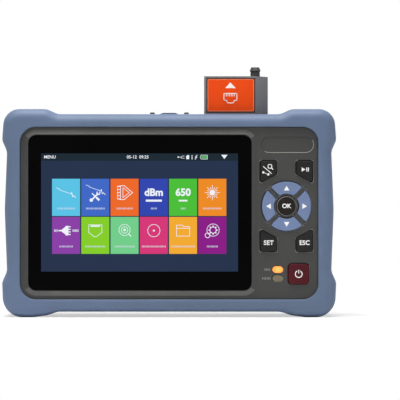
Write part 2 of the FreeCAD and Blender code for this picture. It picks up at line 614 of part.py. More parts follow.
def pocket(piece, name, plane, low, high, *shapes):
    """A cut between two levels."""
    sketch = sketch_on(piece, name, plane, low if plane == "front" else high, *shapes)
    feature = piece.newObject("PartDesign::Pocket", name)
    feature.Profile = sketch
    feature.setExpression("Length", bound(f"({high}) - ({low})"))
    sketch.Visibility = False
    return feature


def loft(piece, name, plane, levels, profiles):
    """A straight loft through profiles at levels."""
    sections = [sketch_on(piece, f"{name}_{index}", plane, level, shape)
                for index, (level, shape) in enumerate(zip(levels, profiles))]
    feature = piece.newObject("PartDesign::AdditiveLoft", name)
    feature.Profile = sections[0]
    feature.Sections = sections[1:]
    feature.Ruled = True
    return feature


def turned(piece, name, corners, x="0", y="0"):
    """A revolved profile of (radius, z, corner radius) about an upright axis."""
    shifted = [(f"({x}) + {radius}", z, corner) for radius, z, corner in corners]
    sketch = sketch_on(piece, name, "front", y, outline(shifted))
    axis = sketch.addGeometry(Part.LineSegment(point(value(x), 0), point(value(x), 10)), True)
    constrain(sketch, [(Sketcher.Constraint("Vertical", axis), None)]
              + fixed(axis, 1, x, "0")
              + [(Sketcher.Constraint("Distance", axis, 10.0), None)])
    feature = piece.newObject("PartDesign::Revolution", name)
    feature.Profile = sketch
    feature.ReferenceAxis = (sketch, ["Axis0"])
    feature.Angle = 360.0
    return feature


def mirrored(piece, name, feature):
    """The feature and its mirror image on the left side."""
    middle = [plane for plane in piece.Origin.OriginFeatures if plane.Role == "YZ_Plane"][0]
    mirror = piece.newObject("PartDesign::Mirrored", name)
    mirror.Originals = [feature]
    mirror.MirrorPlane = (middle, [""])
    piece.Tip = mirror
    return mirror


def row_of(piece, name, feature, axis, count, pitch):
    """Copies of a feature at a pitch along an axis, the first one in its own place."""
    line = [item for item in piece.Origin.OriginFeatures if item.Role == axis + "_Axis"][0]
    pattern = piece.newObject("PartDesign::LinearPattern", name)
    pattern.Originals = [feature]
    pattern.Direction = (line, [""])
    pattern.Occurrences = count
    pattern.setExpression("Length", bound(f"{count - 1} * ({pitch})"))
    piece.Tip = pattern
    return pattern


def rounded(piece, name, base, radius, wanted):
    """A fillet on the edges of base that wanted picks by their middle point and length box."""
    doc.recompute()
    names = [f"Edge{index}" for index, edge in enumerate(base.Shape.Edges, start=1) if wanted(edge)]
    feature = piece.newObject("PartDesign::Fillet", name)
    feature.Base = (base, names)
    feature.setExpression("Radius", bound(radius))
    return feature


def chamfered(piece, name, base, size, wanted):
    """A chamfer on the edges of base that wanted picks."""
    doc.recompute()
    names = [f"Edge{index}" for index, edge in enumerate(base.Shape.Edges, start=1) if wanted(edge)]
    feature = piece.newObject("PartDesign::Chamfer", name)
    feature.Base = (base, names)
    feature.setExpression("Size", bound(size))
    return feature


def lies_at(axis, formula):
    """Picks edges that lie wholly at one level along an axis."""
    level = value(formula)

    def wanted(edge):
        box = edge.BoundBox
        low, high = {"x": (box.XMin, box.XMax), "y": (box.YMin, box.YMax), "z": (box.ZMin, box.ZMax)}[axis]
        return abs(low - level) < NEAR and abs(high - level) < NEAR
    return wanted


def runs_along(axis, inside=None):
    """Picks straight edges along an axis, inside a range of another axis if one is given."""
    def wanted(edge):
        box = edge.BoundBox
        spans = {"x": box.XLength, "y": box.YLength, "z": box.ZLength}
        if spans[axis] < 0.1 or any(spans[other] > 0.001 for other in "xyz".replace(axis, "")):
            return False
        return inside is None or inside(box.Center)
    return wanted


def cover_ear_edges(centre, half_width):
    """The two ear places beside a dust cover, as (low, high) formulas of X."""
    inner = f"{half_width} + cover_side_gap"
    return [(f"{centre} - ({inner}) - ear_thick", f"{centre} - ({inner})"),
            (f"{centre} + ({inner})", f"{centre} + ({inner}) + ear_thick")]


COVERS = [("otdr_cover", "port_half_pitch", "cover_half_width"),
          ("meter_cover", "(-port_half_pitch)", "cover_half_width"),
          ("port_flap", "flap_x", "flap_half_width")]


def corner_key(sign_x, sign_z, grow):
    """Outline of a corner key, grown by a formula on every side."""
    slope = "((key_near_inner - key_near_outer) / (key_outer_x - key_inner_x))"
    run = f"sqrt(1 + {slope} * {slope})"
    inner_near = f"(key_near_inner + ({grow}) * ({slope} - {run}))"
    outer_near = f"(key_near_outer - ({grow}) * ({slope} + {run}))"
    inner, outer, far = f"(key_inner_x - ({grow}))", f"(key_outer_x + ({grow}))", f"(key_far + ({grow}))"
    corners = [(inner, inner_near), (outer, outer_near), (outer, far), (inner, far)]
    if sign_x * sign_z < 0:
        corners.reverse()
    return outline([(f"pad_x + {sign_x} * {x}", f"pad_z + {sign_z} * {z}", "key_corner")
                    for x, z in corners])


def arrow_key(turn, grow, flange=False):
    """Outline of an arrow key, grown by a formula on every side."""
    inner = "arrow_inner" if flange else f"arrow_inner - ({grow})"
    gap = "arrow_half_gap / 2" if flange else f"arrow_half_gap - ({grow})"
    return sector("pad_x", "pad_z", turn, inner, f"arrow_outer + ({grow})", gap)


def power_key(grow):
    """Outline of the power key, grown by a formula on every side."""
    half = f"(power_half + ({grow}))"
    return rectangle(f"power_x - {half}", f"power_x + {half}", f"power_z - {half}", f"power_z + {half}",
                     f"power_corner + ({grow})")


def lamp(index, grow):
    """Outline of one of the two lamps, grown by a formula."""
    middle = f"(light_z - {index} * light_pitch)"
    high = f"(light_half_height + ({grow}))"
    return rectangle(f"light_x - light_half_width - ({grow})", f"light_x + light_half_width + ({grow})",
                     f"{middle} - {high}", f"{middle} + {high}", f"{high} - 0.05")


def key_places():
    """The middle of each key, where its switch sits."""
    reach = "(arrow_inner + arrow_outer) / 2"
    spots = [(f"pad_x + {round(math.cos(math.radians(turn)))} * {reach}",
              f"pad_z + {round(math.sin(math.radians(turn)))} * {reach}") for name, turn in ARROWS]
    side, height = "(key_inner_x + key_outer_x) / 2", "(key_far + key_near_inner) / 2 - key_corner"
    spots += [(f"pad_x + {sx} * {side}", f"pad_z + {sz} * ({height})") for name, sx, sz in CORNER_KEYS]
    return spots + [("pad_x", "pad_z"), ("power_x", "power_z")]


KEY_BOARD_EDGES = ("pad_x - key_outer_x - 1.4", "pad_x + key_outer_x + 2.2",
                   "power_z - power_half", "pad_z + key_far")
KEY_BOARD_SCREWS = [("pad_x", "pad_z + arrow_outer + 6"), ("pad_x", "pad_z - arrow_outer - 6"),
                    ("pad_x - key_outer_x + 1.5", "light_z - light_pitch / 2"),
                    ("pad_x + key_outer_x", "(power_z + power_half + pad_z - key_far) / 2")]
MAIN_BOARD_EDGES = ("-shell_half_width + wall_thick + board_gap", "glass_right + board_side",
                    "case_screw_low + case_boss + board_gap",
                    f"{PORT_BOARD_TOP} - board_thick - board_border")
MAIN_BOARD_SCREWS = [(x, z)
                     for x in (f"{MAIN_BOARD_EDGES[0]} + board_inset", f"{MAIN_BOARD_EDGES[1]} - board_inset")
                     for z in (f"{MAIN_BOARD_EDGES[2]} + board_inset", f"{MAIN_BOARD_EDGES[3]} - board_inset")]
CASE_SCREWS = [(f"{side} * case_screw_x", height) for side in (-1, 1)
               for height in ("case_screw_low", "case_screw_high")]


def bumper():
    """Rubber bumper: one ring with lips that wrap the shells, swollen at its corners."""
    piece = body("bumper")
    right = [("0", "rail_bottom", "0"), ("0", "rail_top", "0"),
             ("rail_half_length", "rail_top", "bend_round"), ("lobe_start", "lobe_top", "bend_round"),
             ("corner_half_width", "lobe_top", "corner_round"),
             ("lobe_half_width", "upper_lobe", "lobe_round"),
             ("waist_half_width", "upper_waist", "bend_round"),
             ("belly_half_width", "belly_height", "belly_round"),
             ("waist_half_width", "lower_waist", "bend_round"),
             ("lobe_half_width", "lower_lobe", "lobe_round"),
             ("foot_half_width", "0", "foot_round"), ("foot_land", "0", "bend_round"),
             ("lobe_start", "foot_rise", "bend_round"), ("rail_half_length", "rail_bottom", "bend_round")]
    half = pad(piece, "right_half", "front", BUMPER_FRONT, BUMPER_BACK, outline(right))
    form = mirrored(piece, "form", half)
    front, back = lies_at("y", BUMPER_FRONT), lies_at("y", BUMPER_BACK)
    rounded(piece, "edges", form, "edge_round", lambda edge: front(edge) or back(edge))
    hole = rectangle("-opening_half_width", "opening_half_width", "opening_low", "opening_high",
                     "opening_round")
    pocket(piece, "openings", "front", BUMPER_FRONT, BUMPER_BACK, hole)
    fit = "bumper_fit"
    room = rectangle(f"-shell_half_width - {fit}", f"shell_half_width + {fit}", f"shell_low - {fit}",
                     f"shell_high + {fit}", f"shell_round + {fit}")
    pocket(piece, "shell_room", "front", SHOULDER_FRONT, SHOULDER_BACK, room)
    window = rectangle("deck_left", "deck_right", "deck_front", "deck_back", "deck_round")
    pocket(piece, "port_window", "top", "shell_high - bead_root", "lobe_top", window)
    edge, root = f"{BUMPER_FRONT} + edge_round", "rail_top - bead_root"
    crest = "rail_top + bead_rise"
    bead = outline([("-bead_half_base", root, "0"), ("bead_half_base", root, "0"),
                    ("bead_half_base", "rail_top", "0"), ("bead_half_top", crest, "bead_round"),
                    ("-bead_half_top", crest, "bead_round"), ("-bead_half_base", "rail_top", "0")])
    full = pad(piece, "bead", "front", edge, f"{edge} + bead_length", bead)
    inner = value("opening_half_width") + NEAR

    def lip(edge):
        box = edge.BoundBox
        return (front(edge) or back(edge)) and max(abs(box.XMin), abs(box.XMax)) < inner
    rounded(piece, "lip_edges", full, "lip_round", lip)
    return piece


def shell_section(inset="0"):
    """The shells' outline, drawn in by a formula."""
    return rectangle(f"-shell_half_width + {inset}", f"shell_half_width - ({inset})", f"shell_low + {inset}",
                     f"shell_high - ({inset})", f"shell_round - ({inset})")


def raised_panel():
    """The panel that shows inside the bumper's opening."""
    return rectangle("-opening_half_width + panel_fit", "opening_half_width - panel_fit",
                     "opening_low + panel_fit", "opening_high - panel_fit", "opening_round - panel_fit")


def glass_section(grow):
    """The glass outline, grown by a formula."""
    return rectangle(f"glass_left - ({grow})", f"glass_right + {grow}", f"glass_low - ({grow})",
                     f"glass_high + {grow}", f"glass_round + {grow}")


def lcd_section(grow):
    """The display outline, grown by a formula."""
    return rectangle(f"lcd_left - ({grow})", f"lcd_right + {grow}", f"lcd_low - ({grow})",
                     f"lcd_high + {grow}", "small_round")


def front_shell():
    """Front half of the housing, with the screen frame, the key holes and the bosses of the boards."""
    piece = body("front_shell")
    pad(piece, "wall", "front", SHOULDER_FRONT, "0", shell_section())
    pad(piece, "panel", "front", PANEL_FRONT, SHOULDER_FRONT, raised_panel())
    loft(piece, "screen_frame", "front", (PANEL_FRONT, FRAME_FRONT),
         (glass_section("frame_width"), glass_section("glass_fit + 0.4")))
    pocket(piece, "inside", "front", PLATE_BACK, "0", shell_section("wall_thick"))
    pocket(piece, "glass_seat", "front", FRAME_FRONT, TAPE_BACK, glass_section("glass_fit"))
    pocket(piece, "window", "front", TAPE_BACK, PLATE_BACK, lcd_section("glass_fit"))
    pill = rectangle("pill_left", "pill_right", "pill_low", "pill_high", "(pill_high - pill_low) / 2 - 0.05")
    pocket(piece, "plate_recess", "front", PANEL_FRONT, f"{PANEL_FRONT} + pill_depth", pill)
    groups = [("arrow_holes", [arrow_key(turn, "key_fit") for name, turn in ARROWS]),
              ("corner_holes", [corner_key(sx, sz, "key_fit") for name, sx, sz in CORNER_KEYS]),
              ("round_holes", [disc("pad_x", "pad_z", "okay_radius + key_fit"), power_key("key_fit")]),
              ("lamp_holes", [lamp(index, "0.05") for index in (0, 1)])]
    for name, shapes in groups:
        pocket(piece, name, "front", PANEL_FRONT, PLATE_BACK, *shapes)
    low, high = PLATE_BACK, KEY_BOARD
    pad(piece, "key_board_bosses", "front", low, high, *discs(KEY_BOARD_SCREWS, "boss_radius"))
    pad(piece, "main_bosses", "front", low, MAIN_BOARD, *discs(MAIN_BOARD_SCREWS, "boss_radius"))
    pad(piece, "case_bosses", "front", low, "0", *discs(CASE_SCREWS, "case_boss"))
    hole = "board_screw + screw_fit"
    pocket(piece, "key_board_holes", "front", f"{PLATE_BACK} + small_gap", KEY_BOARD,
           *discs(KEY_BOARD_SCREWS, hole))
    pocket(piece, "main_holes", "front", f"{MAIN_BOARD} - board_screw_length", MAIN_BOARD,
           *discs(MAIN_BOARD_SCREWS, hole))
    pocket(piece, "case_holes", "front", "well_floor - case_screw_length - 0.5", "0",
           *discs(CASE_SCREWS, "case_screw + screw_fit"))
    port_cut_out(piece, f"{DECK_BOTTOM} - small_gap")
    seal = "(wall_thick - seal_width) / 2"
    ring = [shell_section(seal), shell_section(f"{seal} + seal_width")]
    groove = pocket(piece, "seal_groove", "front", "-seal_height", "0", *ring)
    left, right = value("glass_right + frame_width") + NEAR, value("opening_half_width - panel_fit") - NEAR
    high, face = value("opening_high - panel_fit") - NEAR, lies_at("y", PANEL_FRONT)

    def hole_rim(edge):
        box = edge.BoundBox
        return face(edge) and box.XMin > left and box.XMax < right and box.ZMax < high
    chamfered(piece, "hole_rims", groove, "hole_edge", hole_rim)
    return piece


def port_cut_out(piece, low):
    """The port opening in the top wall of a shell."""
    window = rectangle("deck_left", "deck_right", "deck_front", "deck_back", "deck_round")
    pocket(piece, "port_opening", "top", low, "shell_high", window)


def case_seal():
    """Rubber seal in the joint of the shells. It ends at both sides of the port panel."""
    piece = body("case_seal")
    seal = "(wall_thick - seal_width) / 2"
    ring = [shell_section(f"{seal} + screw_fit"), shell_section(f"{seal} + seal_width - screw_fit")]
    pad(piece, "ring", "front", "-seal_height", "0", *ring)
    pocket(piece, "port_break", "front", "-seal_height", "0",
           rectangle("deck_left - 1", "deck_right + 1", "shell_high - wall_thick - 1", "shell_high + 1"))
    return piece


def rear_shell():
    """Rear half of the housing, with the battery bay, the stand recess and the screw wells."""
    piece = body("rear_shell")
    pad(piece, "wall", "front", "0", SHOULDER_BACK, shell_section())
    pad(piece, "panel", "front", SHOULDER_BACK, PANEL_BACK, raised_panel())
    pocket(piece, "inside", "front", "0", BACK_WALL, shell_section("wall_thick"))
    pad(piece, "wells", "front", "0", BACK_WALL, *discs(CASE_SCREWS, "well_radius + well_wall"))
    left, right, low, high = battery_room("bay_wall")
    pad(piece, "bay_box", "front", f"{BAY_FLOOR} - bay_wall", BACK_WALL,
        rectangle(left, right, low, high, "small_round + bay_wall"))
    tab = rectangle("bay_x - cell_radius * 2", "bay_x + cell_radius * 2", BAY_TOP,
                    f"{BAY_TOP} + door_tab + small_round", "small_round")
    pad(piece, "door_tab_block", "front", f"{DOOR_SEAT} - door_hole - small_round", BACK_WALL, tab)
    block = rectangle("-stand_block_end", "stand_block_end",
                      "stand_axis - stand_length - 6.0", "stand_axis + 5.0", "2.0")
    pad(piece, "stand_block", "front", f"{STAND_FLOOR} - wall_thick", BACK_WALL, block)
    pocket(piece, "bay", "front", BAY_FLOOR, PANEL_BACK, rectangle(*battery_room("0"), "small_round"))
    pocket(piece, "door_seat", "front", DOOR_SEAT, PANEL_BACK, door_section("door_fit"))
    recess = rectangle("-stand_half_width - stand_gap", "stand_half_width + stand_gap",
                       "stand_axis - stand_length - stand_gap",
                       "stand_axis + stand_thick / 2 + stand_gap", "small_round")
    pocket(piece, "stand_recess", "front", STAND_FLOOR, PANEL_BACK, recess)
    scoop = disc("0", "stand_axis - stand_length", "scoop_radius")
    pocket(piece, "finger_scoop", "front", STAND_FLOOR, PANEL_BACK, scoop)
    reach = "stand_half_width - stand_pin_inset + stand_pin_length + pin_end_gap"
    pocket(piece, "stand_pin_holes", "side", f"-({reach})", reach,
           disc(STAND_AXIS_Y, "stand_axis", "stand_pin + screw_fit"))
    pocket(piece, "well_bores", "front", "well_floor", PANEL_BACK, *discs(CASE_SCREWS, "well_radius"))
    pocket(piece, "screw_holes", "front", "0", "well_floor", *discs(CASE_SCREWS, "case_screw + hole_fit"))
    pocket(piece, "door_screw_holes", "front", f"{DOOR_SEAT} - door_hole", DOOR_SEAT,
           *discs(DOOR_SCREWS, "board_screw + screw_fit"))
    low, half = "(speaker_z - 2 * grille_pitch)", "(speaker_radius - 3.0)"
    slot = pocket(piece, "grille_slot", "front", BACK_WALL, PANEL_BACK,
                  rectangle(f"speaker_x - {half}", f"speaker_x + {half}", f"{low} - grille_slot",
                            f"{low} + grille_slot", "grille_slot - 0.05"))
    row_of(piece, "grille", slot, "Z", 5, "grille_pitch")
    studs = [(x, z) for x in ("optics_left + stud_inset", "optics_right - stud_inset")
             for z in ("optics_low + stud_inset", "optics_high - stud_inset")]
    pad(piece, "optics_studs", "front", f"{BACK_WALL} - optics_stud", BACK_WALL,
        *discs(studs, "boss_radius"))
    port_cut_out(piece, f"{DECK_BOTTOM} - small_gap")
    return piece


def battery_room(grow):
    """The battery's space as left, right, low and high formulas."""
    half = f"(cell_radius * 2 + battery_fit + ({grow}))"
    return (f"bay_x - {half}", f"bay_x + {half}", f"battery_low - battery_fit - ({grow})",
            f"battery_low + battery_length + battery_fit + ({grow})")


def door_section(grow):
    """The battery door's outline, grown by a formula."""
    half = f"(cell_radius * 2 + battery_fit + door_ledge + ({grow}))"
    low = f"battery_low - battery_fit - door_ledge - ({grow})"
    high = f"battery_low + battery_length + battery_fit + door_tab + ({grow})"
    return rectangle(f"bay_x - {half}", f"bay_x + {half}", low, high, f"door_round + ({grow})")


DOOR_SCREWS = [(f"bay_x + {side} * cell_radius", f"{BAY_TOP} + door_tab / 2 + 0.3") for side in (-1, 1)]


def screen():
    """Glass, sealing tape, display and the tray behind it."""
    glass = body("screen_glass")
    pad(glass, "plate", "front", GLASS_FRONT, GLASS_BACK, glass_section("0"))
    tape = body("screen_gasket")
    pad(tape, "ring", "front", GLASS_BACK, TAPE_BACK, glass_section("-tape_inset"), lcd_section("tape_inset"))
    display = body("display_panel")
    floor = f"({GLASS_BACK} + small_gap + lcd_thick)"
    pad(display, "cell", "front", f"{GLASS_BACK} + small_gap", floor, lcd_section("0"))
    tray = body("display_frame")
    pad(tray, "sheet", "front", PLATE_BACK, f"{floor} + tray_thick", lcd_section("tray_border"))
    pocket(tray, "seat", "front", PLATE_BACK, floor, lcd_section("glass_fit"))
    pitch, windows = "((lcd_right - lcd_left - tray_bar) / 3)", []
    for index in range(3):
        left = f"lcd_left + tray_bar + {index} * {pitch}"
        windows.append(rectangle(left, f"{left} + {pitch} - tray_bar", "lcd_low + tray_bar",
                                 "lcd_high - tray_bar", "tray_round"))
    pocket(tray, "windows", "front", floor, f"{floor} + tray_thick", *windows)
    return [glass, tape, display, tray]


def key(name, stem, flange, sharp=False):
    """A key cap: a stem through the front plate and a flange that holds it in."""
    piece = body(name)
    pad(piece, "flange", "front", PLATE_BACK, KEY_BACK, flange)
    top = f"({PANEL_FRONT} - key_proud)"
    cap = pad(piece, "stem", "front", top, PLATE_BACK, stem)
    if sharp:
        middle = value(f"({top} + {PLATE_BACK}) / 2")
        cap = rounded(piece, "corners", cap, "key_corner * 0.6",
                      runs_along("y", lambda centre: abs(centre.y - middle) < 0.01))
    rounded(piece, "top_edge", cap, "key_edge", lies_at("y", top))
    return piece


def keypad():
    """All key caps, their board and its switches, and the two lamps."""
    made = [key(name, arrow_key(turn, "0"), arrow_key(turn, "flange_reach", True), True)
            for name, turn in ARROWS]
    made += [key(name, corner_key(sx, sz, "0"), corner_key(sx, sz, "flange_reach"))
             for name, sx, sz in CORNER_KEYS]
    made.append(key("key_ok", disc("pad_x", "pad_z", "okay_radius"),
                    disc("pad_x", "pad_z", "(okay_radius + arrow_inner) / 2 - small_gap / 2")))
    made.append(key("key_power", power_key("0"), power_key("flange_reach")))
    board = body("keypad_board")
    pad(board, "plate", "front", KEY_BOARD, f"{KEY_BOARD} + board_thick",
        rectangle(*KEY_BOARD_EDGES, "board_round"))
    pocket(board, "holes", "front", KEY_BOARD, f"{KEY_BOARD} + board_thick",
           *discs(KEY_BOARD_SCREWS, "board_screw + hole_fit"))
    switches = body("key_switches")
    squares = [rectangle(f"{x} - switch_half", f"{x} + switch_half", f"{z} - switch_half",
                         f"{z} + switch_half") for x, z in key_places()]
    base = f"({KEY_BOARD} - switch_thick)"
    pad(switches, "housings", "front", base, KEY_BOARD, *squares)
    pad(switches, "plungers", "front", f"{base} - plunger_rise", base,
        *discs(key_places(), "plunger_radius"))
    made += [board, switches]
    for index, name in enumerate(("charge_light", "status_light")):
        light = body(name)
        pad(light, "lens", "front", f"{PANEL_FRONT} - light_proud", KEY_BOARD, lamp(index, "0"))
        made.append(light)
    return made


# Parts on the main board: height, then left side from the display's middle, width, lower side above the
# display's lower edge and height of each.
BOARD_PARTS = [("shield", "shield_rise", [(-4.6, 32.0, 34.0, 26.0)]),
               ("chips", "chip_rise", [(-0.6, 16.0, 8.0, 16.0), (23.4, 14.0, 8.0, 10.0),
                                       (-16.6, 6.0, 10.0, 26.0), (33.4, 12.0, 44.0, 6.0)])]


def screws(name, places, head_seat, head_radius, head_rise, shank_radius, shank_length):
    """Screws that enter from the back: heads behind head_seat, shanks in front of it."""
    piece = body(name)
    pad(piece, "heads", "front", head_seat, f"{head_seat} + {head_rise}", *discs(places, head_radius))
    pad(piece, "shanks", "front", f"{head_seat} - {shank_length}", head_seat,
        *discs(places, shank_radius))
    return piece


def boards():
    """Main board with its parts, and the screws of the boards."""
    board = body("main_board")
    back = f"({MAIN_BOARD} + board_thick)"
    pad(board, "plate", "front", MAIN_BOARD, back, rectangle(*MAIN_BOARD_EDGES, "board_round"))
    pocket(board, "holes", "front", MAIN_BOARD, back, *discs(MAIN_BOARD_SCREWS, "board_screw + hole_fit"))
    for name, height, places in BOARD_PARTS:
        middle = "(lcd_left + lcd_right) / 2"
        shapes = [rectangle(f"{middle} + {left}", f"{middle} + {left + width}", f"lcd_low + {low}",
                            f"lcd_low + {low + tall}") for left, width, low, tall in places]
        pad(board, name, "front", back, f"{back} + {height}", *shapes)
    seats = screws("board_screws", MAIN_BOARD_SCREWS, back, "board_head", "board_head_rise", "board_screw",
                   "board_screw_length")
    key_seat = f"({KEY_BOARD} + board_thick)"
    keys = screws("keypad_screws", KEY_BOARD_SCREWS, key_seat, "board_head", "board_head_rise",
                  "board_screw", "key_screw_length")
    return [board, seats, keys]


def battery():
    """Two-cell battery, its contacts, its door and the door's screws."""
    pack = body("battery_pack")
    front, back = f"({BAY_FLOOR} + pack_seat)", f"({BAY_FLOOR} + pack_seat + cell_radius * 2)"
    pad(pack, "cells", "top", "battery_low", "battery_low + battery_length",
        rectangle("bay_x - cell_radius * 2", "bay_x + cell_radius * 2", front, back, "cell_radius - 0.05"))
    contacts = body("battery_contacts")
    blades = []
    for index in (-1, 0, 1):
        middle = f"bay_x + {index} * blade_pitch"
        blades.append(rectangle(f"{middle} - blade_half", f"{middle} + blade_half",
                                f"{BAY_FLOOR} + cell_radius - blade_height / 2",
                                f"{BAY_FLOOR} + cell_radius + blade_height / 2"))
    pad(contacts, "blades", "top", "battery_low - battery_fit", "battery_low - small_gap", *blades)
    door = body("battery_door")
    plate = pad(door, "plate", "front", DOOR_SEAT, DOOR_BACK, door_section("0"))
    ribs = []
    for share in (0.2, 0.5, 0.8):
        middle = f"battery_low + {share} * battery_length"
        ribs.append(rectangle("bay_x - cell_radius * 2 + door_ledge", "bay_x + cell_radius * 2 - door_ledge",
                              f"{middle} - rib_half", f"{middle} + rib_half"))
    pad(door, "ribs", "front", f"{DOOR_SEAT} - door_rib", DOOR_SEAT, *ribs)
    low = "battery_low + grip_pitch * 2"
    groove = pocket(door, "grip_groove", "front", f"{DOOR_BACK} - grip_half", DOOR_BACK,
                    rectangle("bay_x - cell_radius", "bay_x + cell_radius", f"{low} - grip_half",
                              f"{low} + grip_half", "grip_half * 0.8"))
    row_of(door, "grip", groove, "Z", 5, "grip_pitch")
    pocket(door, "screw_holes", "front", DOOR_SEAT, DOOR_BACK, *discs(DOOR_SCREWS, "board_screw + hole_fit"))
    pocket(door, "head_seats", "front", f"{DOOR_BACK} - board_head_rise", DOOR_BACK,
           *discs(DOOR_SCREWS, "board_head + hole_fit"))
    fasteners = screws("door_screws", DOOR_SCREWS, f"({DOOR_BACK} - board_head_rise)", "board_head",
                       "board_head_rise - 0.1", "board_screw", "board_screw_length")
    return [pack, contacts, door, fasteners]


def stand():
    """Fold-out stand, its rubber foot and its two hinge pins."""
    piece = body("stand")
    half = "stand_thick / 2"
    profile = outline([(STAND_FRONT, "stand_axis - stand_length", "stand_edge"),
                       (STAND_BACK, "stand_axis - stand_length", "stand_edge"),
                       (STAND_BACK, f"stand_axis + {half}", f"{half} - 0.02"),
                       (STAND_FRONT, f"stand_axis + {half}", f"{half} - 0.02")])
    pad(piece, "plate", "side", "-stand_half_width", "stand_half_width", profile)
    slot = rectangle("-stand_half_width + stand_border", "stand_half_width - stand_border",
                     "stand_axis - stand_length + stand_border + foot_height", "stand_axis - stand_border",
                     "small_round")
    pocket(piece, "panel", "front", f"{STAND_BACK} - stand_panel", STAND_BACK, slot)
    pitch, under = "((stand_half_width - stand_rib) * 2 / 3)", []
    for index in range(3):
        left = f"(-stand_half_width + stand_rib * 3 / 2 + {index} * {pitch})"
        under.append(rectangle(left, f"{left} + {pitch} - stand_rib",
                               "stand_axis - stand_length + stand_border + foot_height",
                               "stand_axis - stand_pin_inset", "small_round"))
    pocket(piece, "ribs", "front", STAND_FRONT, f"{STAND_FRONT} + stand_rib_depth", *under)
    pocket(piece, "foot_seat", "front", f"{STAND_BACK} - foot_seat", STAND_BACK, foot_section("0"))
    inner = "stand_half_width - stand_pin_inset"
    bore = disc(STAND_AXIS_Y, "stand_axis", "stand_pin + pin_fit")
    pocket(piece, "pin_bore_right", "side", f"{inner} - pin_end_gap", "stand_half_width", bore)
    pocket(piece, "pin_bore_left", "side", "-stand_half_width", f"pin_end_gap - ({inner})", bore)
    foot = body("stand_foot")
    pad(foot, "strip", "front", f"{STAND_BACK} - foot_seat", f"{STAND_BACK} + foot_proud",
        foot_section("small_gap"))
    pins = body("stand_pins")
    pin = disc(STAND_AXIS_Y, "stand_axis", "stand_pin")
    pad(pins, "right_pin", "side", inner, f"{inner} + stand_pin_length", pin)
    pad(pins, "left_pin", "side", f"-({inner}) - stand_pin_length", f"-({inner})", pin)
    return [piece, foot, pins]


def foot_section(inset):
    """Outline of the stand's rubber foot, drawn in by a formula."""
    low, half = "stand_axis - stand_length + foot_inset", f"(stand_half_width - stand_border - ({inset}))"
    return rectangle(f"-{half}", half, f"{low} + {inset}", f"{low} + foot_height - ({inset})", "small_round")


def ear_section():
    """Side view of a hinge ear on the port panel."""
    reach = "(knuckle_radius + ear_root)"
    front, back = f"cover_axis_y - {reach}", f"cover_axis_y + {reach}"
    low, high = f"{DECK_TOP} - ear_root", f"cover_axis_z + {reach} - ear_flat"
    round_top = f"{reach} - ear_flat"
    return outline([(front, low, "0"), (back, low, "0"), (back, high, round_top), (front, high, round_top)])


def port_panel():
    """The panel that carries the ports, held under the edges of its opening, with its hinge ears."""
    piece = body("port_panel")
    pad(piece, "plate", "top", DECK_BOTTOM, DECK_TOP,
        rectangle("deck_left - deck_margin", "deck_right + deck_margin", "deck_front - deck_margin",
                  "deck_back + deck_margin", "deck_round"))
    for name, centre, half in COVERS:
        for side, (low, high) in enumerate(cover_ear_edges(centre, half)):
            pad(piece, f"{name}_ear_{side}", "side", low, high, ear_section())
    reach = [cover_ear_edges(centre, half) for name, centre, half in COVERS]
    hole = disc("cover_axis_y", "cover_axis_z", "cover_pin + screw_fit")
    pocket(piece, "pin_holes", "side", f"{reach[2][0][0]} - 1", f"{reach[0][1][1]} + 1", hole)
    holes = [disc("port_half_pitch", "port_y", "barrel_radius + jack_fit"),
             disc("-port_half_pitch", "port_y", "barrel_radius + jack_fit"),
             disc("laser_x", "port_y", "laser_barrel + jack_fit")]
    for centre in ("jack_x", "dock_x"):
        half = "(jack_half_width + jack_fit)"
        holes.append(rectangle(f"{centre} - {half}", f"{centre} + {half}", "port_y + jack_front - jack_fit",
                               "port_y + jack_back + jack_fit"))
    holes.append(usb_section("usb_wall + jack_fit"))
    pocket(piece, "port_holes", "top", DECK_BOTTOM, DECK_TOP, *holes)
    return piece


def usb_section(grow):
    """Outline of the charging socket, grown by a formula."""
    high = f"(usb_half_width + ({grow}))"
    return rectangle(f"usb_x - usb_half_length - ({grow})", f"usb_x + usb_half_length + ({grow})",
                     f"port_y - {high}", f"port_y + {high}", f"{high} - 0.05")


def hinge_pins():
    """One pin for each pair of ears."""
    made = []
    for name, covers in (("cover_pins", COVERS[:2]), ("flap_pin", COVERS[2:])):
        piece = body(name)
        for cover, centre, half in covers:
            ears = cover_ear_edges(centre, half)
            pad(piece, cover + "_pin", "side", f"{ears[0][0]} + 0.1", f"{ears[1][1]} - 0.1",
                disc("cover_axis_y", "cover_axis_z", "cover_pin"))
        made.append(piece)
    return made


def dust_cover(name, centre, half, nub):
    """A hinged hood over a port: top, front, sides and a knuckle at its rear edge."""
    piece = body(name, x=centre)
    low, rear = f"({DECK_TOP} + cover_gap)", "(cover_axis_y + knuckle_radius)"
    heel = "(cover_axis_z - knuckle_radius)"
    inner_rear = "(cover_axis_y - knuckle_radius - cover_wall)"
    side = outline([("cover_front", low, "cover_edge"), (f"{inner_rear} + cover_wall", low, "cover_edge"),
                    (f"{inner_rear} + cover_wall", heel, "0"),
                    (rear, heel, "knuckle_radius - 0.05"), (rear, "cover_top", "knuckle_radius - 0.05"),
                    ("cover_front", "cover_top", "cover_round")])
    pad(piece, "hood", "side", f"-({half})", half, side)
    room = rectangle("cover_front + cover_wall", inner_rear, f"{low} - 1", "cover_top - cover_wall")
    pocket(piece, "room", "side", f"-({half}) + cover_wall", f"{half} - cover_wall", room)
    pocket(piece, "pin_bore", "side", f"-({half})", half,
           disc("cover_axis_y", "cover_axis_z", "cover_pin + pin_fit"))
    if nub:
        tip = rectangle("-nub_half_width", "nub_half_width", "cover_top - cover_wall", "nub_top",
                        "nub_inset")
        pad(piece, "nub", "front", "cover_front + nub_inset", "cover_front + nub_inset + nub_depth", tip)
    return piece


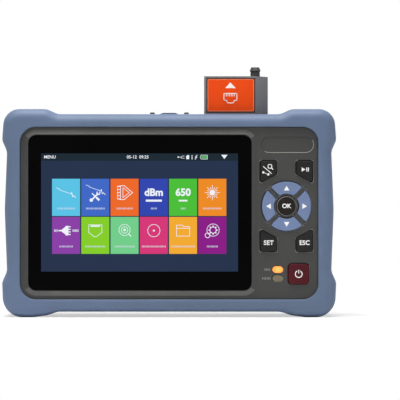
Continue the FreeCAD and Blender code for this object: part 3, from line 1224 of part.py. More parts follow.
def optical_port(name, centre, barrel, skirted):
    """A ferrule port: a flange under the panel, a barrel through it and a sleeve inside the barrel."""
    piece = body(name)
    rim, sleeve = f"({DECK_TOP} + barrel_rise)", f"({DECK_TOP} + barrel_rise - sleeve_drop)"
    base = f"({DECK_BOTTOM} - port_flange_thick)"
    foot, slim = f"({base} - port_tail)", f"{barrel} - tail_step"
    flange = "port_flange" if skirted else "laser_flange"
    profile = [("ferrule_bore", foot, "0"), (slim, foot, "0"), (slim, base, "0"), (flange, base, "0"),
               (flange, DECK_BOTTOM, "0"), (barrel, DECK_BOTTOM, "0"), (barrel, f"{rim} - rim_chamfer", "0"),
               (f"{barrel} - rim_chamfer", rim, "0")]
    if skirted:
        moat, inside = f"({DECK_TOP} - moat_depth)", f"{barrel} - barrel_wall"
        profile += [(inside, rim, "0"), (inside, moat, "0"), ("sleeve_radius", moat, "0"),
                    ("sleeve_radius", f"{sleeve} - rim_chamfer", "0"),
                    ("sleeve_radius - rim_chamfer", sleeve, "0"), ("ferrule_bore", sleeve, "0")]
    else:
        profile.append(("ferrule_bore", rim, "0"))
    turned(piece, "barrel", profile, centre, "port_y")
    return piece


def laser_cap():
    """Push-on cap of the visible light port."""
    piece = body("laser_cap")
    low, rim = f"({DECK_TOP} + cover_gap)", f"({DECK_TOP} + barrel_rise + small_gap)"
    inner, outer = "laser_barrel + cap_fit", "laser_barrel + cap_fit + cap_wall"
    turned(piece, "cap", [(inner, low, "0"), (outer, low, "0"), (outer, "cap_top", "cap_round"),
                          ("0", "cap_top", "0"), ("0", rim, "0"), (inner, rim, "0")], "laser_x", "port_y")
    return piece


def jack(name, centre):
    """A network jack that stands on the port board, its socket facing up."""
    piece = body(name)
    pad(piece, "housing", "top", PORT_BOARD_TOP, DECK_TOP,
        rectangle(f"{centre} - jack_half_width", f"{centre} + jack_half_width", "port_y + jack_front",
                  "port_y + jack_back", "jack_round"))
    floor = f"({DECK_TOP} - jack_slot_length)"
    slot = outline([(f"{centre} - jack_slot_half", "port_y - jack_slot_back", "0"),
                    (f"{centre} - latch_slot_half", "port_y - jack_slot_back", "0"),
                    (f"{centre} - latch_slot_half", "port_y - jack_slot_back - latch_slot_depth", "0"),
                    (f"{centre} + latch_slot_half", "port_y - jack_slot_back - latch_slot_depth", "0"),
                    (f"{centre} + latch_slot_half", "port_y - jack_slot_back", "0"),
                    (f"{centre} + jack_slot_half", "port_y - jack_slot_back", "0"),
                    (f"{centre} + jack_slot_half", "port_y + jack_slot_back", "0"),
                    (f"{centre} - jack_slot_half", "port_y + jack_slot_back", "0")])
    pocket(piece, "socket", "top", floor, DECK_TOP, slot)
    return piece


def ports():
    """Ports, jacks, the charging socket and the board that carries the sockets."""
    made = [optical_port("otdr_port", "port_half_pitch", "barrel_radius", True),
            optical_port("meter_port", "-port_half_pitch", "barrel_radius", True),
            optical_port("laser_port", "laser_x", "laser_barrel", False), laser_cap(),
            jack("lan_jack", "jack_x"), jack("dock_jack", "dock_x")]
    usb = body("usb_socket")
    pad(usb, "shell", "top", PORT_BOARD_TOP, DECK_TOP, usb_section("0"))
    pocket(usb, "mouth", "top", f"{DECK_TOP} - usb_depth", DECK_TOP, usb_section("-usb_wall"))
    pad(usb, "tongue", "top", f"{DECK_TOP} - usb_depth - tongue_root", f"{DECK_TOP} - tongue_drop",
        rectangle("usb_x - usb_half_length + tongue_inset", "usb_x + usb_half_length - tongue_inset",
                  "port_y - tongue_half", "port_y + tongue_half"))
    board = body("port_board")
    bottom = f"({PORT_BOARD_TOP} - board_thick)"
    pad(board, "plate", "top", bottom, PORT_BOARD_TOP,
        rectangle("usb_x - usb_half_length - board_border", "dock_x + jack_half_width + board_border",
                  "port_y - port_board_half_depth", "port_y + port_board_half_depth", "board_round"))
    return made + [usb, board]


def optics():
    """Optical module behind the keypad: a closed case with a finned lid, and the loudspeaker."""
    module = body("optical_module")
    back = f"({BACK_WALL} - optics_stud)"
    front = f"({back} - optics_thick)"
    pad(module, "case", "front", front, back,
        rectangle("optics_left", "optics_right", "optics_low", "optics_high", "optics_round"))
    low = "optics_low + fin_border"
    groove = pocket(module, "groove", "front", front, f"{front} + fin_depth",
                    rectangle("optics_left + fin_border", "optics_right - fin_border", low,
                              f"{low} + fin_gap"))
    row_of(module, "fins", groove, "Z", 9, "(optics_high - optics_low - fin_border * 2 - fin_gap) / 8")
    middle = f"{front} + optics_thick / 2"
    glands = [(f"(optics_left + optics_right) / 2 + {index} * gland_pitch", middle) for index in (-1, 0, 1)]
    pad(module, "fibre_glands", "top", "optics_high", "optics_high + gland_rise",
        *discs(glands, "gland_radius"))
    speaker = body("speaker")
    rim = f"({BACK_WALL} - speaker_rim)"
    pad(speaker, "frame", "front", rim, BACK_WALL, disc("speaker_x", "speaker_z", "speaker_radius"))
    pad(speaker, "magnet", "front", f"{BACK_WALL} - speaker_thick", rim,
        disc("speaker_x", "speaker_z", "magnet_radius"))
    return [module, speaker]


def remote_section(inset, back):
    """Plan of the remote unit, drawn in by a formula, up to a rear level."""
    left, right, front = f"remote_left + {inset}", f"remote_right - ({inset})", f"remote_front + {inset}"
    return outline([(left, front, "remote_round"), (f"remote_edge - ({inset}) / 2", front, "remote_round"),
                    (right, f"remote_front + remote_cant + ({inset}) / 2", "remote_round"),
                    (right, back, "0"), (left, back, "0")])


def remote():
    """The plug-on remote unit that is stowed in the dock jack."""
    joint = "(remote_back - remote_lid)"
    case = body("remote_case")
    pad(case, "form", "top", DECK_TOP, "remote_top", remote_section("0", joint))
    pocket(case, "inside", "top", f"{DECK_TOP} + remote_wall", "remote_top - remote_wall",
           remote_section("remote_wall", joint))
    hole = plug_section("plug_fit")
    pocket(case, "plug_hole", "top", DECK_TOP, f"{DECK_TOP} + remote_wall", hole)
    pocket(case, "label_seat", "front", "remote_front", "remote_front + label_sink", label_section("0"))
    pocket(case, "post_hole", "top", "remote_top - remote_wall", "remote_top",
           disc("post_x", "post_y", "post_stub + label_fit"))
    plate = body("remote_label")
    pad(plate, "plate", "front", "remote_front + label_sink - label_thick", "remote_front + label_sink",
        label_section("label_fit"))
    cover = body("remote_cover")
    pad(cover, "plate", "front", joint, "remote_back",
        rectangle("remote_left", "remote_right", DECK_TOP, "remote_top", "remote_round"))
    pocket(cover, "screw_holes", "front", joint, "remote_back",
           *discs(REMOTE_SCREWS, "board_screw + hole_fit"))
    pad(case, "screw_bosses", "front", "remote_front + remote_wall", joint,
        *discs(REMOTE_SCREWS, "boss_radius"))
    pocket(case, "boss_holes", "front", f"{joint} - board_screw_length", joint,
           *discs(REMOTE_SCREWS, "board_screw + screw_fit"))
    fasteners = screws("remote_screws", REMOTE_SCREWS, "(remote_back - board_head_rise)", "board_head",
                       "board_head_rise - 0.1", "board_screw", "board_screw_length")
    pocket(cover, "head_seats", "front", "remote_back - board_head_rise", "remote_back",
           *discs(REMOTE_SCREWS, "board_head + hole_fit"))
    plug = body("remote_plug")
    tip = f"({DECK_TOP} - plug_reach)"
    pad(plug, "housing", "top", tip, f"{DECK_TOP} + plug_root", plug_section("0"))
    face = "(port_y - plug_half_depth)"
    latch = outline([(face, f"{tip} + 1.0", "0"), (f"{face} - latch_rise", f"{tip} + 9.5", "0"),
                     (f"{face} - latch_rise + 0.9", f"{tip} + 10.5", "0"), (face, f"{tip} + 4.5", "0")])
    pad(plug, "latch", "side", "dock_x - latch_half", "dock_x + latch_half", latch)
    board = body("remote_board")
    front = "(port_y + plug_half_depth + jack_fit)"
    side, end = "(remote_wall + battery_fit)", "(remote_wall + panel_fit)"
    pad(board, "plate", "front", front, f"{front} + board_thick",
        rectangle(f"remote_left + {side}", f"remote_right - {side}", f"{DECK_TOP} + {end}",
                  f"remote_top - {end}", "jack_round"))
    room = "(boss_radius + panel_fit)"
    (left, high), (right, low) = REMOTE_SCREWS
    corners = [rectangle("remote_left", f"{left} + {room}", f"{high} - {room}", "remote_top"),
               rectangle(f"{right} - {room}", "remote_right", DECK_TOP, f"{low} + {room}")]
    pocket(board, "boss_corners", "front", front, f"{front} + board_thick", *corners)
    return [case, plate, cover, fasteners, plug, board, remote_post()]


SCREW_INSET = "(remote_wall + boss_radius + jack_fit)"
REMOTE_SCREWS = [(f"remote_left + {SCREW_INSET}", f"remote_top - {SCREW_INSET}"),
                 (f"remote_right - {SCREW_INSET}", f"{DECK_TOP} + {SCREW_INSET}")]


def label_section(inset):
    """Outline of the plate on the remote unit, drawn in by a formula."""
    return rectangle(f"label_left + {inset}", f"label_right - ({inset})", f"label_low + {inset}",
                     f"label_high - ({inset})", f"label_round - ({inset})")


def plug_section(grow):
    """Outline of the network plug, grown by a formula."""
    return rectangle(f"dock_x - plug_half_width - ({grow})", f"dock_x + plug_half_width + {grow}",
                     f"port_y - plug_half_depth - ({grow})", f"port_y + plug_half_depth + {grow}")


def octagon(radius):
    """A regular octagon on the post's axis."""
    corners = []
    for index in range(8):
        angle = math.radians(22.5 + 45 * index)
        corners.append((f"post_x + {math.cos(angle):.6f} * ({radius})",
                        f"post_y + {math.sin(angle):.6f} * ({radius})", "0"))
    return outline(corners)


def remote_post():
    """Faceted post on top of the remote unit: a shaft and a head that flares and closes in again."""
    piece = body("remote_post")
    neck = "remote_top + post_neck"
    pad(piece, "stub", "top", "remote_top - remote_wall", "remote_top",
        disc("post_x", "post_y", "post_stub"))
    pad(piece, "shaft", "top", "remote_top", neck, disc("post_x", "post_y", "post_radius"))
    loft(piece, "flare", "top", (neck, f"{neck} + post_flare"),
         (octagon("post_radius"), octagon("post_head")))
    loft(piece, "crown", "top", (f"{neck} + post_flare", f"{neck} + post_flare + post_crown_rise"),
         (octagon("post_head"), octagon("post_crown")))
    return piece


def build():
    """Makes every sub-part."""
    made = [bumper(), front_shell(), rear_shell(), case_seal()]
    made += screen() + keypad() + boards() + battery() + stand()
    made += [port_panel()] + hinge_pins() + ports()
    made += [dust_cover(name, centre, half, name != "port_flap") for name, centre, half in COVERS]
    made += optics() + remote()
    made.append(screws("housing_screws", CASE_SCREWS, "well_floor", "case_head", "case_head_rise",
                       "case_screw", "case_screw_length"))
    doc.recompute()
    return made


def check(made):
    """Stops if an object failed, a shape is empty or a cut took nothing away."""
    for item in doc.Objects:
        if "Invalid" in item.State or "Error" in item.State:
            raise RuntimeError(f"{item.Label} ({item.Name}) failed: {item.State}")
    for piece in made:
        if piece.Shape.isNull() or not piece.Shape.isValid():
            raise RuntimeError(f"{piece.Label} has no valid shape")
        last = 0.0
        for feature in piece.Group:
            if feature.isDerivedFrom("PartDesign::Feature"):
                volume = feature.Shape.Volume
                cuts = feature.isDerivedFrom("PartDesign::Pocket")
                if cuts and volume > last - 0.001 or not cuts and abs(volume - last) < 0.001:
                    raise RuntimeError(f"{feature.Name} of {piece.Label} changes nothing")
                last = volume


def write(made):
    """Writes each sub-part to its own file."""
    os.makedirs("parts", exist_ok=True)
    for piece in made:
        piece.Shape.exportStep(os.path.join("parts", piece.Label + ".step"))
        print(piece.Label, len(piece.Shape.Solids), round(piece.Shape.Volume, 1))


pieces = build()
check(pieces)
write(pieces)
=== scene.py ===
"""Looks of a handheld optical time domain reflectometer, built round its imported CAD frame.

X runs to the right of the screen, Y from the screen to the back and Z up, in metres, as in the CAD.
The sizes in this file are millimetres in the same frame, and the helpers scale them by MM.
"""
import sys
import logging
import math
from dataclasses import dataclass, field
from enum import Enum
from functools import cached_property, partial
from typing import Callable, Iterable, Sequence

import bpy
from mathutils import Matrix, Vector


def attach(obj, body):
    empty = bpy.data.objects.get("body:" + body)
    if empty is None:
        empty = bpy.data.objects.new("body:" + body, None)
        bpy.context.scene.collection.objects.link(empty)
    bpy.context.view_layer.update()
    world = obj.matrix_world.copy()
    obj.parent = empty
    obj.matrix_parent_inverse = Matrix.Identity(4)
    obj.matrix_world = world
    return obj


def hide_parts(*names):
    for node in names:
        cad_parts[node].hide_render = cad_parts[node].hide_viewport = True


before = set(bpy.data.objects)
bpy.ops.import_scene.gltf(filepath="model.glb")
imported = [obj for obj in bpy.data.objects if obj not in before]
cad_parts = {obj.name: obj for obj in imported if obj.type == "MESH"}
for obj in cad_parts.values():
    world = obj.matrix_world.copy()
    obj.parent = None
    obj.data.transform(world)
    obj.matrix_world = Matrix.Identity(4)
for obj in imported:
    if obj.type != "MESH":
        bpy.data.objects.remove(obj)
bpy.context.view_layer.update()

MM = 0.001
HOUSING = "housing"
FACING_VIEWER = math.pi / 2
PIXEL_MM = 0.405
# Height of a capital as a share of the lettering's size.
CAPITAL = 0.72
# Contacts of a network plug or jack.
WIRES = 8
SYMBOL_WHITE = ("#F4F8FF", "#EEF3FA")
Colour = tuple[float, float, float, float]
Point = tuple[float, float]
Triple = tuple[float, float, float]
Piece = bpy.types.Object
Socket = bpy.types.NodeSocket
log = logging.getLogger("reflectometer")


# Materials


def linear(code: str) -> Colour:
    """Turns an sRGB hex colour into the linear values of a shader.

    Args:
        code: The colour as six hex digits after a hash sign.

    Returns:
        Linear red, green, blue and a full alpha.
    """
    parts = [int(code[place:place + 2], 16) / 255 for place in (1, 3, 5)]
    curve = [part / 12.92 if part <= 0.04045 else ((part + 0.055) / 1.055) ** 2.4 for part in parts]
    return (curve[0], curve[1], curve[2], 1.0)


class Nodes:
    """Shader nodes of a material or of the world.

    Attributes:
        tree: The node tree.
    """

    def __init__(self, owner: bpy.types.Material | bpy.types.World) -> None:
        """Starts from an empty tree.

        Args:
            owner: The material or the world.
        """
        owner.use_nodes = True
        self.tree = owner.node_tree
        self.tree.nodes.clear()

    @cached_property
    def place(self) -> Socket:
        """Socket of the object coordinates."""
        return self.add("TexCoord").outputs["Object"]

    def add(self, kind: str, links: dict | None = None, **settings) -> bpy.types.Node:
        """Adds a node with its settings and links.

        Args:
            kind: The node's type without its ShaderNode prefix.
            links: Input name or number to the output socket that feeds it.
            **settings: Properties of the node, or values of inputs with spaces as underscores.

        Returns:
            The new node.
        """
        node = self.tree.nodes.new("ShaderNode" + kind)
        for name, value in settings.items():
            if name in node.bl_rna.properties:
                setattr(node, name, value)
            else:
                node.inputs[name.replace("_", " ")].default_value = value
        for name, source in (links or {}).items():
            self.tree.links.new(source, node.inputs[name])
        return node

    def noise(self, width: float, detail: float, place: Socket | None = None) -> Socket:
        """Adds a cloudy pattern between 0 and 1, with patches of a width in mm."""
        cloud = self.add("TexNoise", {"Vector": place or self.place}, Scale=1 / (width * MM), Detail=detail)
        return cloud.outputs["Fac"]

    def blend(self, share: Socket, first: str, second: str) -> Socket:
        """Mixes two colours by a share.

        Args:
            share: Output socket that runs from 0, the first colour, to 1, the second.
            first: A hex colour.
            second: A hex colour.

        Returns:
            The mixed colour's socket.
        """
        node = self.add("Mix", {0: share}, data_type="RGBA")
        for place, colour in ((6, first), (7, second)):
            node.inputs[place].default_value = linear(colour)
        return node.outputs[2]

    def shine(self, shader: bpy.types.Node, colour: Socket, power: float) -> None:
        """Lets a surface shine by itself in a colour and with a strength."""
        self.tree.links.new(colour, shader.inputs["Emission Color"])
        shader.inputs["Emission Strength"].default_value = power


@dataclass(frozen=True)
class Finish:
    """A moulded, coated or cast surface.

    Attributes:
        name: The material's common name and how its surface was made.
        colour: Main colour.
        drift: Colour that the tone wanders to across the piece.
        drift_mm: Width of the tone's patches.
        roughness: Mean roughness.
        grain_mm: Spacing of the surface's grain.
        grain_depth_mm: Depth of the grain.
        metallic: 1 for a bare metal.
        specular: Strength of the plain reflection.
        coat: Strength of a clear coat.
        stretch: How far the grain is drawn out along X, Y and Z, for brushed and turned surfaces.
    """

    name: str
    colour: str
    drift: str
    drift_mm: float
    roughness: float
    grain_mm: float
    grain_depth_mm: float
    metallic: float = 0.0
    specular: float = 0.5
    coat: float = 0.0
    stretch: Triple = (1.0, 1.0, 1.0)

    def material(self) -> bpy.types.Material:
        """Makes the material once and hands the same one out after that.

        Returns:
            The finished material.
        """
        made = bpy.data.materials.get(self.name)
        if made is None:
            made = bpy.data.materials.new(self.name)
            self.shade(Nodes(made))
        return made

    def shade(self, nodes: Nodes) -> None:
        """Builds the nodes.

        Args:
            nodes: The material's nodes.
        """
        drawn = nodes.add("Mapping", {"Vector": nodes.place}, Scale=tuple(1 / part for part in self.stretch))
        grain = nodes.noise(self.grain_mm, 4.0, drawn.outputs[0])
        rough = nodes.add("MapRange", {"Value": grain}, From_Min=0.3, From_Max=0.7,
                          To_Min=self.roughness * 0.85, To_Max=min(1.0, self.roughness * 1.15))
        bump = nodes.add("Bump", {"Height": grain}, Distance=self.grain_depth_mm * MM)
        links = {"Base Color": self.pattern(nodes), "Roughness": rough.outputs[0], "Normal": bump.outputs[0]}
        shader = nodes.add("BsdfPrincipled", links, Metallic=self.metallic, Specular_IOR_Level=self.specular,
                           Coat_Weight=self.coat)
        self.glow(nodes, shader)
        nodes.add("OutputMaterial", {"Surface": shader.outputs[0]})

    def pattern(self, nodes: Nodes) -> Socket:
        """The surface's colour before its grain.

        Args:
            nodes: The material's nodes.

        Returns:
            A colour socket.
        """
        patches = nodes.noise(self.drift_mm, 3.0)
        soft = nodes.add("MapRange", {"Value": patches}, From_Min=0.35, From_Max=0.65)
        return nodes.blend(soft.outputs[0], self.colour, self.drift)

    def glow(self, nodes: Nodes, shader: bpy.types.Node) -> None:
        """Adds light of the surface's own; a plain finish has none."""


@dataclass(frozen=True)
class Laminate(Finish):
    """Circuit board: solder mask over copper tracks, which show as paler lines.

    Attributes:
        track: Colour of the mask above copper.
        track_mm: Spacing of the tracks.
        across: Turn that lays the track pattern in the board's plane.
    """

    track: str = "#1F7A4A"
    track_mm: float = 2.4
    across: Triple = (math.pi / 2, 0.0, 0.0)

    def pattern(self, nodes: Nodes) -> Socket:
        """The mask's colour with tracks below it.

        Args:
            nodes: The material's nodes.

        Returns:
            A colour socket.
        """
        flat = nodes.add("Mapping", {"Vector": nodes.place}, Rotation=self.across)
        brick = nodes.add("TexBrick", {"Vector": flat.outputs[0]}, Scale=1 / (self.track_mm * MM),
                          Mortar_Size=0.09, offset=0.37, squash=1.6)
        return nodes.blend(brick.outputs["Fac"], self.colour, self.track)


@dataclass(frozen=True)
class LitPixels(Finish):
    """Part of the lit screen: dark when off, shining in its colour through the screen's pixels."""

    def pattern(self, nodes: Nodes) -> Socket:
        """The colour of the dark screen."""
        return nodes.blend(nodes.noise(self.drift_mm, 1.0), "#050608", "#07080B")

    def glow(self, nodes: Nodes, shader: bpy.types.Node) -> None:
        """Lights the pixels, in rows three times as coarse as the real 0.135 mm, so that they show.

        Args:
            nodes: The material's nodes.
            shader: Its Principled node.
        """
        rows = nodes.add("TexWave", {"Vector": nodes.place}, Scale=math.pi / 10 / (PIXEL_MM * MM),
                         bands_direction="Z")
        dim = nodes.add("MapRange", {"Value": rows.outputs["Fac"]}, To_Min=0.94, To_Max=1.0)
        lit = nodes.blend(nodes.noise(self.drift_mm, 1.0), self.colour, self.drift)
        scaled = nodes.add("VectorMath", {0: lit, "Scale": dim.outputs[0]}, operation="SCALE")
        nodes.shine(shader, scaled.outputs[0], 1.0)


@dataclass(frozen=True)
class LampLens(Finish):
    """Moulded lens over a lamp, brightest in its middle, falling off round it.

    Attributes:
        glare: Colour of the lamp's middle.
        middle: The lens's middle, in mm.
        reach_mm: How far from the middle the light falls off.
        power: Strength of the light.
    """

    glare: str = "#FFE0A0"
    middle: Triple = (0.0, 0.0, 0.0)
    reach_mm: float = 3.0
    power: float = 1.0

    def glow(self, nodes: Nodes, shader: bpy.types.Node) -> None:
        """Lights the lens from its middle.

        Args:
            nodes: The material's nodes.
            shader: Its Principled node.
        """
        shift = tuple(-part / self.reach_mm for part in self.middle)
        near = nodes.add("Mapping", {"Vector": nodes.place}, Location=shift,
                         Scale=(1 / (self.reach_mm * MM),) * 3)
        fall = nodes.add("TexGradient", {"Vector": near.outputs[0]}, gradient_type="QUADRATIC_SPHERE")
        nodes.shine(shader, nodes.blend(fall.outputs["Fac"], self.colour, self.glare), self.power)


# Thermoplastic rubber, moulded against an eroded tool: soft, matt, with a broad pale sheen on its rounds.
RUBBER = Finish("tpr_rubber_moulded", "#5A6A86", "#55657E", 55.0, 0.55, 0.45, 0.012, specular=0.35)
# ABS with a spark-eroded skin: an even dark grey whose tiny pits catch the light as specks.
CASE = Finish("abs_spark_eroded", "#3B3B3A", "#373736", 30.0, 0.52, 0.5, 0.05, specular=0.3)
# A bead moulded along the openings of the keypad, smooth, and painted pale as a highlight.
BEAD_HIGHLIGHT = Finish("abs_bead_painted_highlight", "#868680", "#7A7A74", 4.0, 0.3, 0.5, 0.002)
# Painted highlight: the screen frame's slopes above and below the glass, finer and paler than the rest of
# the case.
FRAME_HIGHLIGHT = Finish("abs_frame_painted_highlight", "#5C5C5A", "#555553", 18.0, 0.45, 0.45, 0.02, specular=0.3)
# Painted highlight on the edges that face the light: smooth and a little pale.
EDGE_HIGHLIGHT = Finish("abs_edge_painted_highlight", "#8E8E86", "#82827A", 4.0, 0.32, 0.5, 0.004)
# The same ABS on the remote unit, a little lighter and smoother.
REMOTE = Finish("abs_fine_eroded", "#757577", "#6E6E70", 22.0, 0.5, 0.4, 0.02)
COVER = Finish("abs_cover_fine", "#6A6D78", "#62656E", 12.0, 0.48, 0.35, 0.015)
DECK = Finish("nylon_moulded_dark", "#2A2B2D", "#252628", 15.0, 0.6, 0.4, 0.02)
BLACK_RUBBER = Finish("nitrile_rubber_moulded", "#17181A", "#1D1E20", 8.0, 0.75, 0.3, 0.02, specular=0.3)
# Anti-glare treated glass with black printed back: deep black, hardly a reflection.
GLASS = Finish("glass_etched_black", "#030303", "#040405", 40.0, 0.16, 3.0, 0.0004, specular=0.02)
# Silicone key caps with a hard matt coat.
KEY = Finish("silicone_key_coated", "#222222", "#1E1E1E", 6.0, 0.45, 0.25, 0.008, specular=0.12)
ARROW = Finish("silicone_key_blue", "#6B7BA0", "#68799A", 14.0, 0.42, 0.25, 0.008, specular=0.25)
OKAY = Finish("silicone_key_brown_black", "#1D1715", "#181311", 5.0, 0.4, 0.25, 0.008, specular=0.14)
# The OK key's rim, painted pale grey as a highlight.
OKAY_RIM_HIGHLIGHT = Finish("silicone_key_rim_painted_highlight", "#828284", "#78787A", 5.0, 0.42, 0.25, 0.006, specular=0.3)
POWER = Finish("silicone_key_maroon", "#4C101A", "#430C15", 6.0, 0.42, 0.25, 0.008, specular=0.14)
INK = Finish("silk_screen_ink_white", "#F0F0EE", "#E6E6E4", 4.0, 0.55, 0.2, 0.004)
DIM_INK = Finish("silk_screen_ink_grey", "#8A8A86", "#7C7C78", 3.0, 0.6, 0.2, 0.004)
SHEET = Finish("steel_sheet_tinned", "#B9BBBD", "#A9ABAE", 10.0, 0.3, 0.5, 0.003,
               metallic=1.0, stretch=(12.0, 1.0, 1.0))
SCREW = Finish("steel_zinc_plated", "#9EA0A4", "#8C8E93", 2.0, 0.32, 0.3, 0.004, metallic=1.0)
PIN = Finish("steel_ground_pin", "#B5B6B8", "#A4A5A8", 3.0, 0.25, 0.4, 0.002,
             metallic=1.0, stretch=(8.0, 1.0, 1.0))
# Nickel on turned brass: faint rings from the tool round its axis.
NICKEL = Finish("nickel_turned", "#C9C5BC", "#BAB6AE", 4.0, 0.22, 0.25, 0.002,
                metallic=1.0, stretch=(20.0, 20.0, 1.0))
CERAMIC = Finish("zirconia_ground", "#E9E7E1", "#DEDCD6", 3.0, 0.25, 0.3, 0.002, coat=0.3)
GOLD = Finish("gold_plated_spring", "#E0B860", "#D4A94C", 1.5, 0.25, 0.3, 0.002, metallic=1.0)
MILLED = Finish("aluminium_milled", "#BFC1C4", "#B0B2B6", 12.0, 0.35, 0.4, 0.004,
                metallic=1.0, stretch=(15.0, 1.0, 1.0))
SPEAKER = Finish("steel_painted_black", "#202122", "#191A1B", 6.0, 0.45, 0.5, 0.01)
JACK = Finish("pbt_moulded_black", "#1B1C1D", "#151617", 6.0, 0.5, 0.35, 0.01)
CLEAR = Finish("polycarbonate_moulded_pale", "#C9CED2", "#BDC3C8", 6.0, 0.12, 0.8, 0.002, coat=0.3)
SLEEVE = Finish("pvc_shrink_sleeve_blue", "#24539A", "#1E4888", 14.0, 0.3, 4.0, 0.08, coat=0.2)
SWITCH = Finish("switch_housing_nylon", "#26272A", "#1E1F22", 2.0, 0.5, 0.3, 0.01)
LCD = Finish("polarizer_film_dark", "#0A0C10", "#0D1016", 30.0, 0.2, 1.0, 0.001)
# Dark brown: painted shade round the label and on its edge.
LABEL_EDGE_SHADE = Finish("polyester_label_edge_painted_shade", "#3E2218", "#341D15", 6.0, 0.5, 0.4, 0.005)
LABEL_LINE = Finish("pad_print_pale_orange", "#EE8A62", "#E9845C", 5.0, 0.5, 0.3, 0.004, specular=0.12)
LABEL = Finish("polyester_label_orange", "#E84A10", "#E2460E", 14.0, 0.45, 1.2, 0.004, specular=0.12)
PAINT = Finish("pad_print_white", "#FBEDE6", "#F6E4DB", 5.0, 0.5, 0.3, 0.004)
BOARD_FLAT = Laminate("fr4_board_upright", "#0F5A36", "#0C4F2F", 9.0, 0.35, 0.6, 0.006, coat=0.2)
BOARD_LEVEL = Laminate("fr4_board_level", "#0F5A36", "#0C4F2F", 9.0, 0.35, 0.6, 0.006, coat=0.2,
                       across=(0.0, 0.0, 0.0))


# Modelling helpers


def clear_selection() -> None:
    """Leaves edit mode and deselects everything."""
    if bpy.context.object and bpy.context.object.mode != "OBJECT":
        bpy.ops.object.mode_set(mode="OBJECT")
    bpy.ops.object.select_all(action="DESELECT")


def select(pieces: Iterable[Piece]) -> None:
    """Selects only these pieces and makes the first one active.

    Args:
        pieces: The pieces to select.
    """
    clear_selection()
    chosen = list(pieces)
    for piece in chosen:
        piece.select_set(True)
    bpy.context.view_layer.objects.active = chosen[0]


def pick_faces(piece: Piece, wanted: Callable[[bpy.types.MeshPolygon], bool]) -> None:
    """Selects faces in code and goes to edit mode on them.

    Args:
        piece: The piece to edit.
        wanted: Tells for each face whether it is selected.
    """
    select([piece])
    for face in piece.data.polygons:
        face.select = wanted(face)
    for edge in piece.data.edges:
        edge.select = False
    for corner in piece.data.vertices:
        corner.select = False
    bpy.ops.object.mode_set(mode="EDIT")
    bpy.ops.mesh.select_mode(type="FACE")


def delete_picked(kind: str) -> None:
    """Deletes the selected faces or corners and leaves edit mode."""
    bpy.ops.mesh.delete(type=kind)
    bpy.ops.object.mode_set(mode="OBJECT")


def put_modifier(piece: Piece, kind: str, **settings) -> None:
    """Adds a modifier and applies it.

    Args:
        piece: The piece to change.
        kind: The modifier's type.
        **settings: The modifier's settings.
    """
    select([piece])
    modifier = piece.modifiers.new(kind.lower(), kind)
    for name, value in settings.items():
        setattr(modifier, name, value)
    bpy.ops.object.modifier_apply(modifier=modifier.name)


def weld(piece: Piece) -> None:
    """Joins corners that lie closer than 0.002 mm."""
    put_modifier(piece, "WELD", merge_threshold=0.002 * MM)


def repeat(piece: Piece, count: int, step: float) -> None:
    """Repeats a piece along its own X, by a step in its own unit."""
    put_modifier(piece, "ARRAY", count=count, use_relative_offset=False, use_constant_offset=True,
                 constant_offset_displace=(step, 0.0, 0.0))


def mirrored(half: Sequence[Point]) -> list[Point]:
    """Closes an even outline, given its right half from the top."""
    return list(half) + [(-across, up) for across, up in reversed(half)]


def finish_piece(piece: Piece, name: str, finish: Finish, body: str = HOUSING) -> Piece:
    """Names and dresses a piece, puts its place into its mesh and lets it ride on its body.

    Args:
        piece: The finished shape.
        name: The piece's name.
        finish: The piece's finish.
        body: The CAD body that carries it.

    Returns:
        The same piece.
    """
    select([piece])
    bpy.ops.object.transform_apply()
    piece.name = piece.data.name = name
    piece.data.materials.clear()
    piece.data.materials.append(finish.material())
    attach(piece, body)
    log.info("piece %s on %s, %d faces", name, body, len(piece.data.polygons))
    return piece


def dress(finish: Finish, *nodes: str) -> None:
    """Gives CAD nodes their finish.

    Args:
        finish: The finish.
        *nodes: Names of the nodes.
    """
    for node in nodes:
        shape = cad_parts[node]
        shape.data.materials.clear()
        shape.data.materials.append(finish.material())
        log.info("node %s wears %s", node, finish.name)


def accent(finish: Finish, node: str, wanted: Callable[[Vector, Vector], bool]) -> None:
    """Gives some faces of a CAD node a finish of their own.

    Args:
        finish: The finish of those faces.
        node: Name of the node.
        wanted: Tells from a face's middle, in mm, and its normal whether it is one of them.
    """
    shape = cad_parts[node]
    shape.data.materials.append(finish.material())
    chosen = [face for face in shape.data.polygons if wanted(face.center / MM, face.normal)]
    for face in chosen:
        face.material_index = len(shape.data.materials) - 1
    log.info("node %s wears %s on %d faces", node, finish.name, len(chosen))


def turned(profile: Sequence[Point], sides: int) -> Piece:
    """Turns a closed piece round Z by extruding a disc ring by ring.

    Args:
        profile: Radius and height of each ring in mm, from the lowest.
        sides: Number of sides.

    Returns:
        The piece.
    """
    clear_selection()
    radius, height = profile[0]
    bpy.ops.mesh.primitive_circle_add(vertices=sides, radius=radius * MM, fill_type="NGON",
                                      location=(0, 0, height * MM))
    piece = bpy.context.object
    pick_faces(piece, lambda face: True)
    for ring, level in profile[1:]:
        bpy.ops.mesh.extrude_region_move(TRANSFORM_OT_translate={"value": (0, 0, (level - height) * MM)})
        bpy.ops.transform.resize(value=(ring / radius, ring / radius, 1))
        radius, height = ring, level
    bpy.ops.mesh.select_all(action="SELECT")
    bpy.ops.mesh.normals_make_consistent(inside=False)
    bpy.ops.object.mode_set(mode="OBJECT")
    bpy.ops.object.transform_apply()
    return piece


